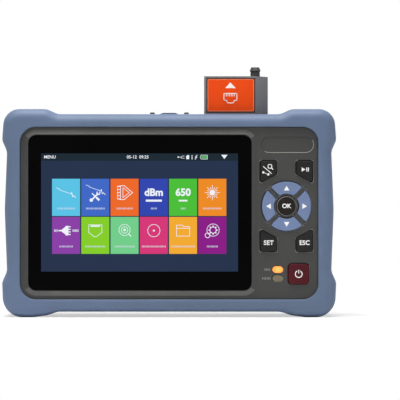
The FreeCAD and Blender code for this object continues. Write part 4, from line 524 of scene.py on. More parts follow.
@dataclass(frozen=True)
class Screw:
    """Self-tapping pan-head screw with a cross recess, which enters from the back.

    Attributes:
        head: Radius of the head in mm.
        rise: Height of the head in mm.
        shank: Radius over the thread in mm.
        length: Length below the head in mm.
        pitch: Pitch of the thread in mm. Its turns are drawn as rings.
        core: Radius below the thread, as a share of the shank's.
        point: Length of the point, as a share of the shank's radius.
        recess: Length, width and depth of the recess, as shares of the head's radius and height.
    """

    head: float
    rise: float
    shank: float
    length: float
    pitch: float = 0.9
    core: float = 0.78
    point: float = 0.6
    recess: Triple = (1.1, 0.26, 1.1)

    def make(self) -> Piece:
        """Turns the screw and cuts its recess.

        Returns:
            The screw with its head's seat at the origin and its head upwards.
        """
        core, edge = self.shank * self.core, self.head * 0.12
        tip = [(self.shank * 0.3, -self.length), (core, -self.length + self.shank * self.point)]
        turns = int((self.length - self.shank * self.point) / self.pitch)
        thread = []
        for turn in range(turns):
            level = tip[1][1] + turn * self.pitch
            thread += [(self.shank, level + self.pitch * 0.4), (self.shank, level + self.pitch * 0.5),
                       (core, level + self.pitch * 0.9)]
        dome = [(self.head, 0.01), (self.head, self.rise * 0.45), (self.head - edge, self.rise * 0.82),
                (self.head - 3 * edge, self.rise)]
        screw = turned(tip + thread + [(core, 0.0)] + dome, 24)
        for turn in (0.0, math.pi / 2):
            bpy.ops.mesh.primitive_cube_add(size=1, location=(0, 0, self.rise * MM), rotation=(0, 0, turn))
            cutter = bpy.context.object
            length, width, depth = self.recess
            cutter.scale = (self.head * length * MM, self.head * width * MM, self.rise * depth * MM)
            put_modifier(screw, "BOOLEAN", object=cutter, operation="DIFFERENCE", solver="EXACT")
            bpy.data.objects.remove(cutter)
        return screw

    def lay(self, node: str, places: Sequence[Point], seat: float, body: str = HOUSING) -> None:
        """Copies the screw to its places, in place of the node's plain screws.

        Args:
            node: The CAD node of the screws.
            places: X and Z of each screw in mm.
            seat: Y of the heads' seat in mm.
            body: The CAD body that carries them.
        """
        first = self.make()
        row = [first]
        for _ in places[1:]:
            select([first])
            bpy.ops.object.duplicate(linked=False)
            row.append(bpy.context.object)
        for screw, (x, z) in zip(row, places):
            screw.location = (x * MM, seat * MM, z * MM)
            screw.rotation_euler = (-FACING_VIEWER, 0.0, 0.0)
        select(row)
        bpy.ops.object.transform_apply()
        bpy.ops.object.join()
        whole = finish_piece(bpy.context.object, node + "_threaded", SCREW, body)
        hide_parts(node)


CASE_SCREW = Screw(2.69, 2.0, 1.5, 12.0, 1.1)
SMALL_SCREW = Screw(1.89, 1.2, 1.1, 4.9)
BOARD_SCREW = Screw(1.89, 1.2, 1.1, 5.0)
SHORT_SCREW = Screw(1.89, 1.2, 1.1, 3.6)


@dataclass
class Print:
    """Flat marks that face the viewer, joined into one thin piece.

    Attributes:
        level: Y of the surface that the marks lie on.
        thick: Thickness of the marks.
        x: Middle that the marks are placed from.
        z: Middle that the marks are placed from.
        parts: The marks so far.
    """

    level: float
    thick: float
    x: float = 0.0
    z: float = 0.0
    parts: list[Piece] = field(default_factory=list)

    def keep(self, x: float, z: float, turn: float = 0.0) -> Piece:
        """Places the newest object as a mark.

        Args:
            x: Place in mm.
            z: Place in mm.
            turn: Turn against the clock, in radians.

        Returns:
            The mark.
        """
        mark = bpy.context.object
        mark.location = ((self.x + x) * MM, self.level * MM, (self.z + z) * MM)
        mark.rotation_euler = (FACING_VIEWER, -turn, 0.0)
        self.parts.append(mark)
        return mark

    def bar(self, x1: float, z1: float, x2: float, z2: float, width: float) -> Piece:
        """A straight stroke.

        Args:
            x1: Start in mm.
            z1: Start in mm.
            x2: End in mm.
            z2: End in mm.
            width: Width of the stroke in mm.

        Returns:
            The mark.
        """
        bpy.ops.mesh.primitive_plane_add(size=1)
        mark = self.keep((x1 + x2) / 2, (z1 + z2) / 2, math.atan2(z2 - z1, x2 - x1))
        mark.scale = (math.hypot(x2 - x1, z2 - z1) * MM, width * MM, 1.0)
        return mark

    def plate(self, left: float, low: float, right: float, high: float) -> Piece:
        """A rectangle between four sides, which it returns."""
        return self.bar(left, (low + high) / 2, right, (low + high) / 2, high - low)

    def strokes(self, points: Sequence[Point], width: float, closed: bool = False) -> None:
        """A line through points.

        Args:
            points: X and Z of the line's points in mm.
            width: Width of the line in mm.
            closed: Whether the line ends where it started.
        """
        ends = list(points[1:]) + ([points[0]] if closed else [])
        for (x1, z1), (x2, z2) in zip(points, ends):
            overrun = width / 2 / max(math.hypot(x2 - x1, z2 - z1), width)
            dx, dz = (x2 - x1) * overrun, (z2 - z1) * overrun
            self.bar(x1 - dx, z1 - dz, x2 + dx, z2 + dz, width)

    def dot(self, x: float, z: float, radius: float, sides: int = 20, turn: float = 0.0) -> Piece:
        """A filled circle, or a regular shape of few sides with a corner upwards, which it returns."""
        bpy.ops.mesh.primitive_circle_add(vertices=sides, radius=radius * MM, fill_type="NGON")
        return self.keep(x, z, turn)

    def ring(self, x: float, z: float, radius: float, width: float, gap: float = 0.0) -> None:
        """A circle drawn as a line, open at the top over a gap.

        Args:
            x: Place in mm.
            z: Place in mm.
            radius: Outer radius in mm.
            width: Width of the line in mm.
            gap: Half angle of the opening at the top, in radians.
        """
        mark = self.dot(x, z, radius, sides=40)
        pick_faces(mark, lambda face: True)
        bpy.ops.mesh.inset(thickness=width * MM)
        delete_picked("FACE")
        if gap > 0:
            pick_faces(mark, lambda face: abs(math.atan2(face.center.x, face.center.y)) < gap)
            delete_picked("FACE")

    def ticks(self, x: float, z: float, count: int, pitch: float, width: float, height: float) -> None:
        """A row of short strokes, as a small line of writing shows them.

        Args:
            x: Middle of the row in mm.
            z: Middle of the row in mm.
            count: Number of strokes.
            pitch: Spacing in mm.
            width: Width of one stroke in mm.
            height: Height of one stroke in mm.
        """
        start = x - (count - 1) * pitch / 2
        mark = self.plate(start - width / 2, z - height / 2, start + width / 2, z + height / 2)
        repeat(mark, count, pitch / width)

    def letters(self, text: str, x: float, z: float, height: float, weight: float = 0.0) -> None:
        """Generic figures or words, centred.

        Args:
            text: What to write.
            x: Middle in mm.
            z: Middle in mm.
            height: Height of a capital in mm.
            weight: Extra thickness of the strokes, as a share of the height.
        """
        bpy.ops.object.text_add()
        writing = bpy.context.object
        writing.data.body = text
        writing.data.size = height / CAPITAL * MM
        writing.data.offset = weight * height * MM
        writing.data.resolution_u = 3
        writing.data.align_x = writing.data.align_y = "CENTER"
        select([writing])
        bpy.ops.object.convert(target="MESH")
        self.keep(x, z)

    def done(self, name: str, finish: Finish, body: str = HOUSING) -> None:
        """Joins the marks and gives them their thickness.

        Args:
            name: The piece's name.
            finish: The piece's finish.
            body: The CAD body that carries it.
        """
        select(self.parts)
        bpy.ops.object.transform_apply()
        if len(self.parts) > 1:
            bpy.ops.object.join()
        whole = bpy.context.object
        weld(whole)
        put_modifier(whole, "SOLIDIFY", thickness=self.thick * MM, offset=1.0)
        self.parts = []
        finish_piece(whole, name, finish, body)


@dataclass
class Symbols(Print):
    """Print with the symbols of the screen's tiles.

    Attributes:
        line: Width of a symbol's lines.
    """

    line: float = 0.36

    def trace(self) -> None:
        """A falling trace with an echo at its end."""
        self.strokes([(-5.3, 2.6), (-3.6, 2.0), (-3.3, 1.4), (2.8, -0.7)], self.line * 0.7)
        self.strokes([(2.8, -0.7), (3.1, 0.1), (3.6, -2.2), (4.2, -1.7), (5.2, -2.6)], self.line)

    def tools(self) -> None:
        """A trace above a crossed spanner and screwdriver."""
        middle = self.x, self.z
        self.x, self.z = self.x + 0.2, self.z + 1.6
        self.trace()
        self.x, self.z = middle
        self.bar(-2.0, -4.0, 1.6, -0.4, 0.8)
        self.bar(-1.8, -0.4, 2.2, -4.2, 0.6)
        self.bar(0.6, -2.7, 2.2, -4.2, 1.1)
        self.dot(-2.2, -4.1, 0.95)
        self.ring(1.7, -0.2, 1.1, 0.5, gap=0.7)

    def event_map(self) -> None:
        """A strip with holes beside a triangle."""
        self.strokes([(-1.8, 3.8), (-0.2, 3.8), (4.4, 0.0), (-0.2, -3.8), (-1.8, -3.8)], self.line)
        self.strokes([(-0.9, 2.7), (-0.9, -2.7), (2.6, 0.0)], self.line * 0.8, closed=True)
        self.strokes([(-3.9, 3.4), (-1.8, 3.8)], self.line)
        self.strokes([(-3.9, -3.4), (-1.8, -3.8)], self.line)
        for hole in range(5):
            self.bar(-3.9, 3.4 - hole * 1.7, -2.7, 3.4 - hole * 1.7, self.line)
        self.bar(-2.3, -3.6, -2.3, 3.6, self.line)
        self.bar(-3.9, -3.4, -3.9, 3.4, self.line * 0.6)

    def meter(self) -> None:
        """The unit of optical power."""
        self.letters("dBm", 0.0, 0.0, 4.0, 0.05)
        self.bar(-4.4, -4.4, 4.4, -4.4, 1.1)

    def red_light(self) -> None:
        """The wavelength of the visible light in nanometres."""
        self.letters("650", 0.0, 0.0, 4.0, 0.05)
        self.bar(-2.4, -4.4, 2.4, -4.4, 0.9)

    def rays(self, count: int, root: float, tips: Point, width: float) -> None:
        """Bars that point away from the middle.

        Args:
            count: Number of bars.
            root: Radius at which they start.
            tips: Radius at which every other one ends, and at which the rest do.
            width: Width of a bar.
        """
        for ray in range(count):
            away = Vector((math.cos(ray * math.tau / count), math.sin(ray * math.tau / count)))
            start, end = away * root, away * tips[ray % 2]
            self.bar(start.x, start.y, end.x, end.y, width)

    def burst(self) -> None:
        """A point of light with rays."""
        self.dot(0.0, 0.0, 1.55)
        self.rays(16, 1.9, (4.1, 3.1), 0.3)

    def plug(self) -> None:
        """A connector on its lead."""
        self.ticks(-5.6, 0.0, 3, 0.7, 0.35, 1.3)
        self.bar(-4.2, 0.0, -1.8, 0.0, 0.7)
        self.dot(-0.9, 0.0, 2.9, 3, math.pi / 2).scale = (1.0, 0.75, 1.0)
        self.plate(-0.3, -2.6, 1.3, 2.6)
        for prong in range(4):
            self.bar(1.3, 2.1 - prong * 1.4, 2.5, 2.1 - prong * 1.4, 0.6)
        self.ticks(5.2, 0.0, 5, 0.7, 0.35, 1.3)

    def jack(self) -> None:
        """A network socket."""
        half = [(3.6, 3.2), (3.6, -1.0), (1.4, -2.7), (0.8, -3.3)]
        self.strokes(mirrored(half), self.line * 0.8, closed=True)
        self.plate(-2.6, 2.1, 2.6, 2.9)

    def magnifier(self) -> None:
        """A magnifier over a target."""
        self.ring(0.0, 0.4, 3.2, self.line * 0.8)
        self.ring(0.0, 0.4, 1.9, self.line * 0.8)
        self.dot(0.0, 0.4, 0.7)
        self.bar(2.2, -1.8, 3.6, -3.2, self.line * 1.4)

    def end_face(self) -> None:
        """The end of a fibre with its core."""
        self.ring(0.0, 0.0, 3.5, self.line * 0.8)
        self.dot(0.0, 0.0, 0.55)

    def folder(self) -> None:
        """A folder."""
        corners = [(-3.6, -3.0), (3.6, -3.0), (3.6, 2.2), (0.4, 2.2), (-0.4, 3.0), (-3.6, 3.0)]
        self.strokes(corners, self.line * 0.8, closed=True)
        self.bar(-3.6, 1.3, 3.6, 1.3, self.line * 0.8)

    def gears(self) -> None:
        """Two meshing gears."""
        middle = self.x, self.z
        self.ring(-2.6, -2.6, 1.5, self.line)
        self.x, self.z = self.x + 0.4, self.z + 0.3
        self.ring(0.0, 0.0, 3.5, self.line * 0.8)
        self.ring(0.0, 0.0, 1.9, self.line)
        self.rays(8, 1.8, (2.5, 2.5), 0.6)
        self.x, self.z = middle


# The tester's sub-assemblies


@dataclass
class Bumper:
    """Rubber bumper round the shells."""

    def build(self) -> None:
        """Dresses the bumper."""
        dress(RUBBER, "bumper")


@dataclass
class Housing:
    """The shells with their seal and screws, the battery door and the stand.

    Attributes:
        panel: Y of the front panel.
        rim: Depth of the chamfers round the holes of the panel.
        bead: Radius of the bead along them.
        keys_left: X from which the panel carries keys.
        screw_x: Housing screws from the middle.
        screw_zs: Heights of the housing screws.
        screw_seat: Y of their heads' seat.
        door_xs: X of the door's screws.
        door_z: Height of the door's screws.
        door_seat: Y of their heads' seat.
    """

    panel: float = -23.2
    rim: float = 0.3
    bead: float = 0.16
    keys_left: float = 47.0
    screw_x: float = 76.5
    screw_zs: Point = (14.6, 98.6)
    screw_seat: float = 4.0
    door_xs: Point = (-67.7, -49.3)
    door_z: float = 91.2
    door_seat: float = 21.9

    def build(self) -> None:
        """Dresses the housing, paints pale highlights on its edges and puts its screws in."""
        dress(CASE, "front_shell", "rear_shell", "battery_door", "stand")
        dress(BLACK_RUBBER, "case_seal", "stand_foot")
        dress(PIN, "stand_pins")
        # Painted highlight: the lower and right chamfers of the keypad's openings, which face the light from
        # the upper left, are pale.
        accent(EDGE_HIGHLIGHT, "front_shell", lambda middle, normal: self.slanted(middle, normal)
               and normal.z - normal.x > 0.2)
        # Painted highlight: the screen frame's slopes towards the glass above and below it are paler.
        accent(FRAME_HIGHLIGHT, "front_shell", lambda middle, normal: self.panel - 1.0 < middle.y < self.panel + 0.05
               and middle.x < self.keys_left and 0.3 < -normal.y < 0.97 and abs(normal.z) > 0.2)
        self.beads()
        case_screws = [(side * self.screw_x, z) for side in (-1, 1) for z in self.screw_zs]
        CASE_SCREW.lay("housing_screws", case_screws, self.screw_seat)
        SMALL_SCREW.lay("door_screws", [(x, self.door_z) for x in self.door_xs], self.door_seat)

    def beads(self) -> None:
        """Runs a fine round bead along the chamfers of the keypad's openings."""
        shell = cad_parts["front_shell"]
        bead = bpy.data.objects.new("bead", shell.data.copy())
        bpy.context.scene.collection.objects.link(bead)
        weld(bead)
        pick_faces(bead, lambda face: not self.slanted(face.center / MM, face.normal))
        delete_picked("FACE")
        for corner in bead.data.vertices:
            corner.select = corner.co.y > (self.panel + 0.02) * MM
        bpy.ops.object.mode_set(mode="EDIT")
        bpy.ops.mesh.select_mode(type="VERT")
        delete_picked("VERT")
        bpy.ops.object.convert(target="CURVE")
        bead = bpy.context.object
        bead.data.bevel_depth = self.bead * MM
        bead.data.bevel_resolution = 1
        bpy.ops.object.convert(target="MESH")
        # The bead's pale colour is a painted highlight.
        finish_piece(bpy.context.object, "keypad_beads", BEAD_HIGHLIGHT)

    def slanted(self, middle: Vector, normal: Vector) -> bool:
        """Tells whether a face is a chamfer of an opening of the keypad."""
        near = self.panel - 0.01 < middle.y < self.panel + self.rim
        return near and middle.x > self.keys_left and 0.3 < -normal.y < 0.95


class Tile(Enum):
    """Menu tiles of the screen, from the upper left: name and colour."""

    TRACE = "#5BC5E8"
    TRACE_TOOLS = "#4169C8"
    EVENT_MAP = "#F06A28"
    POWER_METER = "#3246B0"
    RED_LIGHT = "#4CC038"
    LIGHT_SOURCE = "#F08C22"
    LOSS = "#8C40A8"
    JACK_TEST = "#86D028"
    TRACKING = "#74D08C"
    END_FACE = "#D83878"
    FILES = "#F5AC30"
    SYSTEM = "#8C1C88"


@dataclass
class Screen:
    """The glass and the picture that shines through it.

    Attributes:
        left: Lit area, left side.
        right: Lit area, right side.
        low: Lit area, lower side.
        high: Lit area, upper side.
        face: Y of the glass's face.
        layer: Thickness of each layer of the picture.
        bar_height: Height of the status bar.
        tile_left: Left side of the first tile.
        tile_pitch: Spacing of the tiles.
        tile_width: Width of a tile.
        rows: Lower and upper side of each row of tiles.
        symbol_rise: Symbols above the middle of their tile.
        caption_drop: Captions below the middle of their tile.
        captions: Number of strokes in each caption.
    """

    left: float = -70.2
    right: float = 37.8
    low: float = 25.2
    high: float = 90.0
    face: float = -23.9
    layer: float = 0.03
    bar_height: float = 4.05
    tile_left: float = -64.2
    tile_pitch: float = 16.05
    tile_width: float = 15.35
    rows: tuple[tuple[float, float], ...] = ((55.7, 76.1), (34.9, 55.2))
    symbol_rise: float = 2.6
    caption_drop: float = 6.1
    captions: tuple[int, ...] = (14, 15, 13, 5, 4, 15, 11, 16, 16, 19, 19, 9)

    def build(self) -> None:
        """Dresses the glass and what lies behind it, and draws the picture."""
        dress(GLASS, "screen_glass")
        dress(BLACK_RUBBER, "screen_gasket")
        dress(LCD, "display_panel")
        dress(SHEET, "display_frame")
        self.backdrop()
        self.tiles()
        self.symbols()
        self.writing()
        self.status()

    def show(self, ink: Print, piece: str, finish: str, colour: str, drift: str) -> None:
        """Finishes a print as a lit part of the screen, in two close colours."""
        lit = LitPixels("screen_" + finish, colour, drift, drift_mm=40.0, roughness=0.2, grain_mm=0.5,
                        grain_depth_mm=0.0005, specular=0.02)
        ink.done(piece, lit)

    def backdrop(self) -> None:
        """Draws the navy ground and the status bar."""
        bar_low = self.high - self.bar_height
        ink = Print(self.face, self.layer)
        ink.plate(self.left, self.low, self.right, bar_low)
        self.show(ink, "screen_ground", "ground", "#28354F", "#233149")
        ink.plate(self.left, bar_low, self.right, self.high)
        self.show(ink, "screen_status_bar", "status_bar", "#1A2A32", "#1D2933")

    def places(self) -> list[Point]:
        """Finds the tiles' middles, from the upper left."""
        first = self.tile_left + self.tile_width / 2
        return [(first + column * self.tile_pitch, (low + high) / 2) for low, high in self.rows
                for column in range(len(Tile) // 2)]

    def tiles(self) -> None:
        """Draws the coloured tiles."""
        for index, (tile, (x, z)) in enumerate(zip(Tile, self.places())):
            low, high = self.rows[index // (len(Tile) // 2)]
            ink = Print(self.face - self.layer, self.layer, x, z)
            ink.plate(-self.tile_width / 2, low - z, self.tile_width / 2, high - z)
            name = f"tile_{tile.name.lower()}"
            self.show(ink, name, name, tile.value, tile.value)

    def symbols(self) -> None:
        """Draws the tiles' symbols, one piece for each row."""
        ink = Symbols(self.face - 2 * self.layer, self.layer)
        places = iter(self.places())
        upper = (ink.trace, ink.tools, ink.event_map, ink.meter, ink.red_light, ink.burst)
        lower = (ink.plug, ink.jack, ink.magnifier, ink.end_face, ink.folder, ink.gears)
        for row, drawers in (("upper", upper), ("lower", lower)):
            for draw, (x, z) in zip(drawers, places):
                ink.x, ink.z = x, z + self.symbol_rise
                draw()
            self.show(ink, "symbols_" + row, "symbols", *SYMBOL_WHITE)

    def writing(self) -> None:
        """Draws a small line under each symbol, as strokes in place of words."""
        ink = Print(self.face - 2 * self.layer, self.layer)
        for count, (x, z) in zip(self.captions, self.places()):
            ink.ticks(x, z - self.caption_drop, count, pitch=0.7, width=0.3, height=1.0)
        self.show(ink, "captions", "captions", "#D8E2F0", "#D0DAEA")

    def status(self) -> None:
        """Draws the status bar's figures and symbols."""
        ink = Print(self.face - self.layer, self.layer, z=self.high - self.bar_height / 2)
        ink.letters("MENU", -65.4, 0.0, 1.7, 0.02)
        ink.letters("05-12  09:25", -17.2, 0.0, 1.7, 0.02)
        ink.dot(5.0, 0.0, 0.4)
        ink.strokes([(5.0, 0.0), (6.6, 0.0), (7.4, 0.6), (8.2, 0.6)], 0.22)
        ink.strokes([(6.2, 0.0), (7.0, -0.6), (8.4, -0.6)], 0.22)
        ink.plate(9.4, -1.1, 11.0, 0.7)
        ink.plate(9.9, 0.6, 11.0, 1.1)
        for step in range(3):
            ink.dot(12.6, step * 0.8 - 0.9, 0.3)
        ink.strokes([(15.3, 1.1), (14.4, -0.1), (15.2, 0.1), (14.3, -1.1)], 0.35)
        ink.strokes([(17.2, 0.5), (17.6, 1.1), (21.0, 1.1), (21.0, -1.1), (17.6, -1.1), (17.2, -0.5)], 0.22,
                    closed=True)
        ink.dot(30.3, 0.5, 2.0, 3, math.pi).scale = (1.0, 0.75, 1.0)
        self.show(ink, "status_marks", "symbols", *SYMBOL_WHITE)
        ink.plate(17.7, -0.8, 20.8, 0.8)
        self.show(ink, "charge_mark", "charge", "#58B868", "#4FAE60")


class Key(Enum):
    """Keys by the node and body that carry them."""

    UP = "key_up"
    DOWN = "key_down"
    LEFT = "key_left"
    RIGHT = "key_right"
    OKAY = "key_ok"
    ZOOM = "key_zoom"
    RUN = "key_run"
    SET = "key_set"
    ESC = "key_esc"
    POWER = "key_power"


@dataclass
class Keypad:
    """Key caps with their legends, the lamps and the board behind them.

    Attributes:
        panel: Y of the front panel.
        cap: Y of the key caps' faces.
        ink: Thickness of the legends.
        pad: Middle of the arrow keys, X and Z.
        okay_face: Radius of the OK key's dark face.
        arrow_reach: Arrow marks from the middle.
        arrow_size: Size of an arrow mark.
        zoom: Middle of the zoom key's mark.
        run: Middle of the run key's mark.
        power: Middle of the power key's mark.
        setting: Middle of the SET key's word.
        escape: Middle of the ESC key's word.
        lamp_x: Middle of the lamps.
        lamp_zs: Middles of the lamps.
        words_right: Right end of the strokes beside the lamps.
    """

    panel: float = -23.2
    cap: float = -24.2
    ink: float = 0.04
    pad: Point = (64.45, 61.05)
    okay_face: float = 5.1
    arrow_reach: float = 9.5
    arrow_size: float = 1.75
    zoom: Point = (54.6, 81.3)
    run: Point = (74.4, 81.2)
    power: Point = (71.1, 23.85)
    setting: Point = (54.6, 40.9)
    escape: Point = (74.3, 40.9)
    lamp_x: float = 59.6
    lamp_zs: Point = (26.3, 21.4)
    words_right: float = 54.6

    def build(self) -> None:
        """Dresses the caps and draws their legends."""
        dress(ARROW, "key_up", "key_down", "key_left", "key_right")
        dress(KEY, "key_zoom", "key_run", "key_set", "key_esc")
        dress(OKAY, "key_ok")
        dress(POWER, "key_power")
        dress(BOARD_FLAT, "keypad_board")
        dress(SWITCH, "key_switches")
        # Painted highlight: the OK key's rim round its dark face is pale grey.
        accent(OKAY_RIM_HIGHLIGHT, "key_ok", lambda middle, normal: normal.y < -0.05 and middle.y < self.panel
               and math.dist((middle.x, middle.z), self.pad) > self.okay_face)
        self.lamps()
        self.arrows()
        self.words()
        self.zoom_mark()
        self.run_mark()
        self.power_mark()
        self.lamp_captions()

    def legend(self, key: Key, mark: Print) -> None:
        """Lays a legend on its key."""
        mark.done("legend" + key.value.removeprefix("key"), INK, key.value)

    def lamps(self) -> None:
        """Dresses the lit and the unlit lamp."""
        lit = ("charge_light", "lens_amber_lit", "#EC862A", "#F2923C", "#FFBE74", 0.8)
        unlit = ("status_light", "lens_smoked_unlit", "#6E634B", "#645A44", "#75694F", 0.04)
        for z, (node, name, tone, drift, glare, power) in zip(self.lamp_zs, (lit, unlit)):
            lens = LampLens(name, tone, drift, drift_mm=3.0, roughness=0.3, grain_mm=0.5,
                            grain_depth_mm=0.004, glare=glare, power=power,
                            middle=(self.lamp_x, self.panel, z))
            dress(lens, node)

    def arrows(self) -> None:
        """Draws a triangle on each arrow key."""
        for quarter, key in enumerate((Key.RIGHT, Key.UP, Key.LEFT, Key.DOWN)):
            angle = quarter * math.pi / 2
            x, z = self.arrow_reach * math.cos(angle), self.arrow_reach * math.sin(angle)
            mark = Print(self.cap, self.ink, *self.pad)
            mark.dot(x, z, self.arrow_size, 3, angle - math.pi / 2)
            self.legend(key, mark)

    def words(self) -> None:
        """Draws the plain function words."""
        for key, middle, height in ((Key.OKAY, self.pad, 2.4), (Key.SET, self.setting, 2.5),
                                    (Key.ESC, self.escape, 2.5)):
            mark = Print(self.cap, self.ink, *middle)
            mark.letters(key.value.removeprefix("key_").upper(), 0.0, 0.0, height, 0.035)
            self.legend(key, mark)

    def zoom_mark(self) -> None:
        """Draws the magnifier, the slash and the dots between two points."""
        mark = Print(self.cap, self.ink, *self.zoom)
        mark.bar(-3.0, 1.6, 1.6, -2.4, 0.4)
        mark.ring(0.7, 1.6, 1.3, 0.45)
        mark.bar(1.6, 0.7, 2.4, -0.2, 0.5)
        mark.dot(-2.9, -1.7, 0.65)
        mark.bar(-2.9, -1.7, -0.2, -2.8, 0.3)
        mark.dot(-1.6, -2.2, 0.35)
        mark.dot(-0.2, -2.8, 0.65)
        self.legend(Key.ZOOM, mark)

    def run_mark(self) -> None:
        """Draws the mark for start and pause."""
        mark = Print(self.cap, self.ink, *self.run)
        mark.dot(-1.0, 0.0, 1.35, 3, -math.pi / 2)
        mark.bar(1.1, -1.1, 1.1, 1.1, 0.5)
        mark.bar(2.0, -1.1, 2.0, 1.1, 0.5)
        self.legend(Key.RUN, mark)

    def power_mark(self) -> None:
        """Draws the power symbol."""
        mark = Print(self.cap, self.ink, *self.power)
        mark.ring(0.0, 0.0, 2.1, 0.45, gap=0.45)
        mark.bar(0.0, 0.3, 0.0, 2.3, 0.45)
        self.legend(Key.POWER, mark)

    def lamp_captions(self) -> None:
        """Draws a small line of strokes beside each lamp."""
        mark = Print(self.panel, self.ink)
        for z, count in zip(self.lamp_zs, (4, 6)):
            mark.ticks(self.words_right - count * 0.2, z, count, pitch=0.8, width=0.35, height=1.2)
        mark.done("lamp_captions", DIM_INK)


@dataclass
class PortDeck:
    """Ports on top of the tester, with their covers, pins and contacts.

    Attributes:
        top: Z of the port panel.
        jack_x: Middle of the network jack.
        spring_pitch: Spacing of the jack's springs.
        spring: Width of a spring.
        spring_root: Height of the block that a spring starts from.
        spring_y: Y of that block.
        spring_drop: How far below the panel it lies.
        bends: How far each stretch of a spring then runs along X, Y and Z.
        port_xs: Middles of the optical ports.
        sleeve: Outer radius of the ports' ceramic sleeves.
        socket_x: Middle of the charging socket.
        tongue_half: Half thickness of its tongue.
        tongue_drop: Middle of the tongue's contacts below the panel.
    """

    top: float = 105.65
    jack_x: float = -40.4
    spring_pitch: float = 1.02
    spring: float = 0.36
    spring_root: float = 1.2
    spring_y: float = 3.75
    spring_drop: float = 11.3
    bends: tuple[Triple, ...] = ((0.0, 0.0, 3.0), (0.0, -2.0, 3.6), (0.0, 0.9, 1.2))
    port_xs: Triple = (9.45, -9.45, -24.2)
    sleeve: float = 1.9
    socket_x: float = -53.4
    tongue_half: float = 0.35
    tongue_drop: float = 2.9

    def build(self) -> None:
        """Dresses the deck and adds the springs and contacts of its sockets."""
        dress(DECK, "port_panel")
        dress(COVER, "otdr_cover", "meter_cover", "port_flap")
        dress(PIN, "cover_pins", "flap_pin")
        ports = ("otdr_port", "meter_port", "laser_port")
        dress(NICKEL, *ports)
        # A ceramic sleeve lines each port's bore.
        for node, x in zip(ports, self.port_xs):
            accent(CERAMIC, node, partial(self.in_sleeve, Vector((x, 0.0))))
        dress(BLACK_RUBBER, "laser_cap")
        dress(JACK, "lan_jack", "dock_jack")
        dress(SHEET, "usb_socket")
        dress(BOARD_LEVEL, "port_board")
        self.springs()
        self.tongue()

    def in_sleeve(self, axis: Vector, middle: Vector, normal: Vector) -> bool:
        """Tells whether a face belongs to the ceramic sleeve round a port's axis, which is X and Y."""
        out = middle.xy - axis
        return out.length < self.sleeve and (out.dot(normal.xy) < 0 or normal.z > 0.5)

    def tongue(self) -> None:
        """Lays twelve contacts on either side of the charging socket's tongue."""
        contacts = Print(-self.tongue_half, 0.02)
        for face in (-self.tongue_half, self.tongue_half + contacts.thick):
            contacts.level = face
            contacts.ticks(self.socket_x, self.top - self.tongue_drop, 12, pitch=0.5, width=0.28, height=3.6)
        contacts.done("socket_contacts", GOLD)

    def springs(self) -> None:
        """Models one spring of the jack and repeats it eight times."""
        bpy.ops.mesh.primitive_cube_add(size=1)
        wire = bpy.context.object
        wire.scale = (self.spring * MM, self.spring * MM, self.spring_root * MM)
        first = self.jack_x - (WIRES - 1) / 2 * self.spring_pitch
        wire.location = (first * MM, self.spring_y * MM, (self.top - self.spring_drop) * MM)
        select([wire])
        bpy.ops.object.transform_apply()
        for step in self.bends:
            top = max(face.center.z for face in wire.data.polygons)
            pick_faces(wire, lambda face: face.center.z > top - 0.05 * MM and face.normal.z > 0.3)
            bpy.ops.mesh.extrude_region_move(TRANSFORM_OT_translate={"value": tuple(Vector(step) * MM)})
            bpy.ops.object.mode_set(mode="OBJECT")
        put_modifier(wire, "BEVEL", width=0.06 * MM, segments=2)
        repeat(wire, WIRES, self.spring_pitch * MM)
        finish_piece(wire, "jack_springs", GOLD)


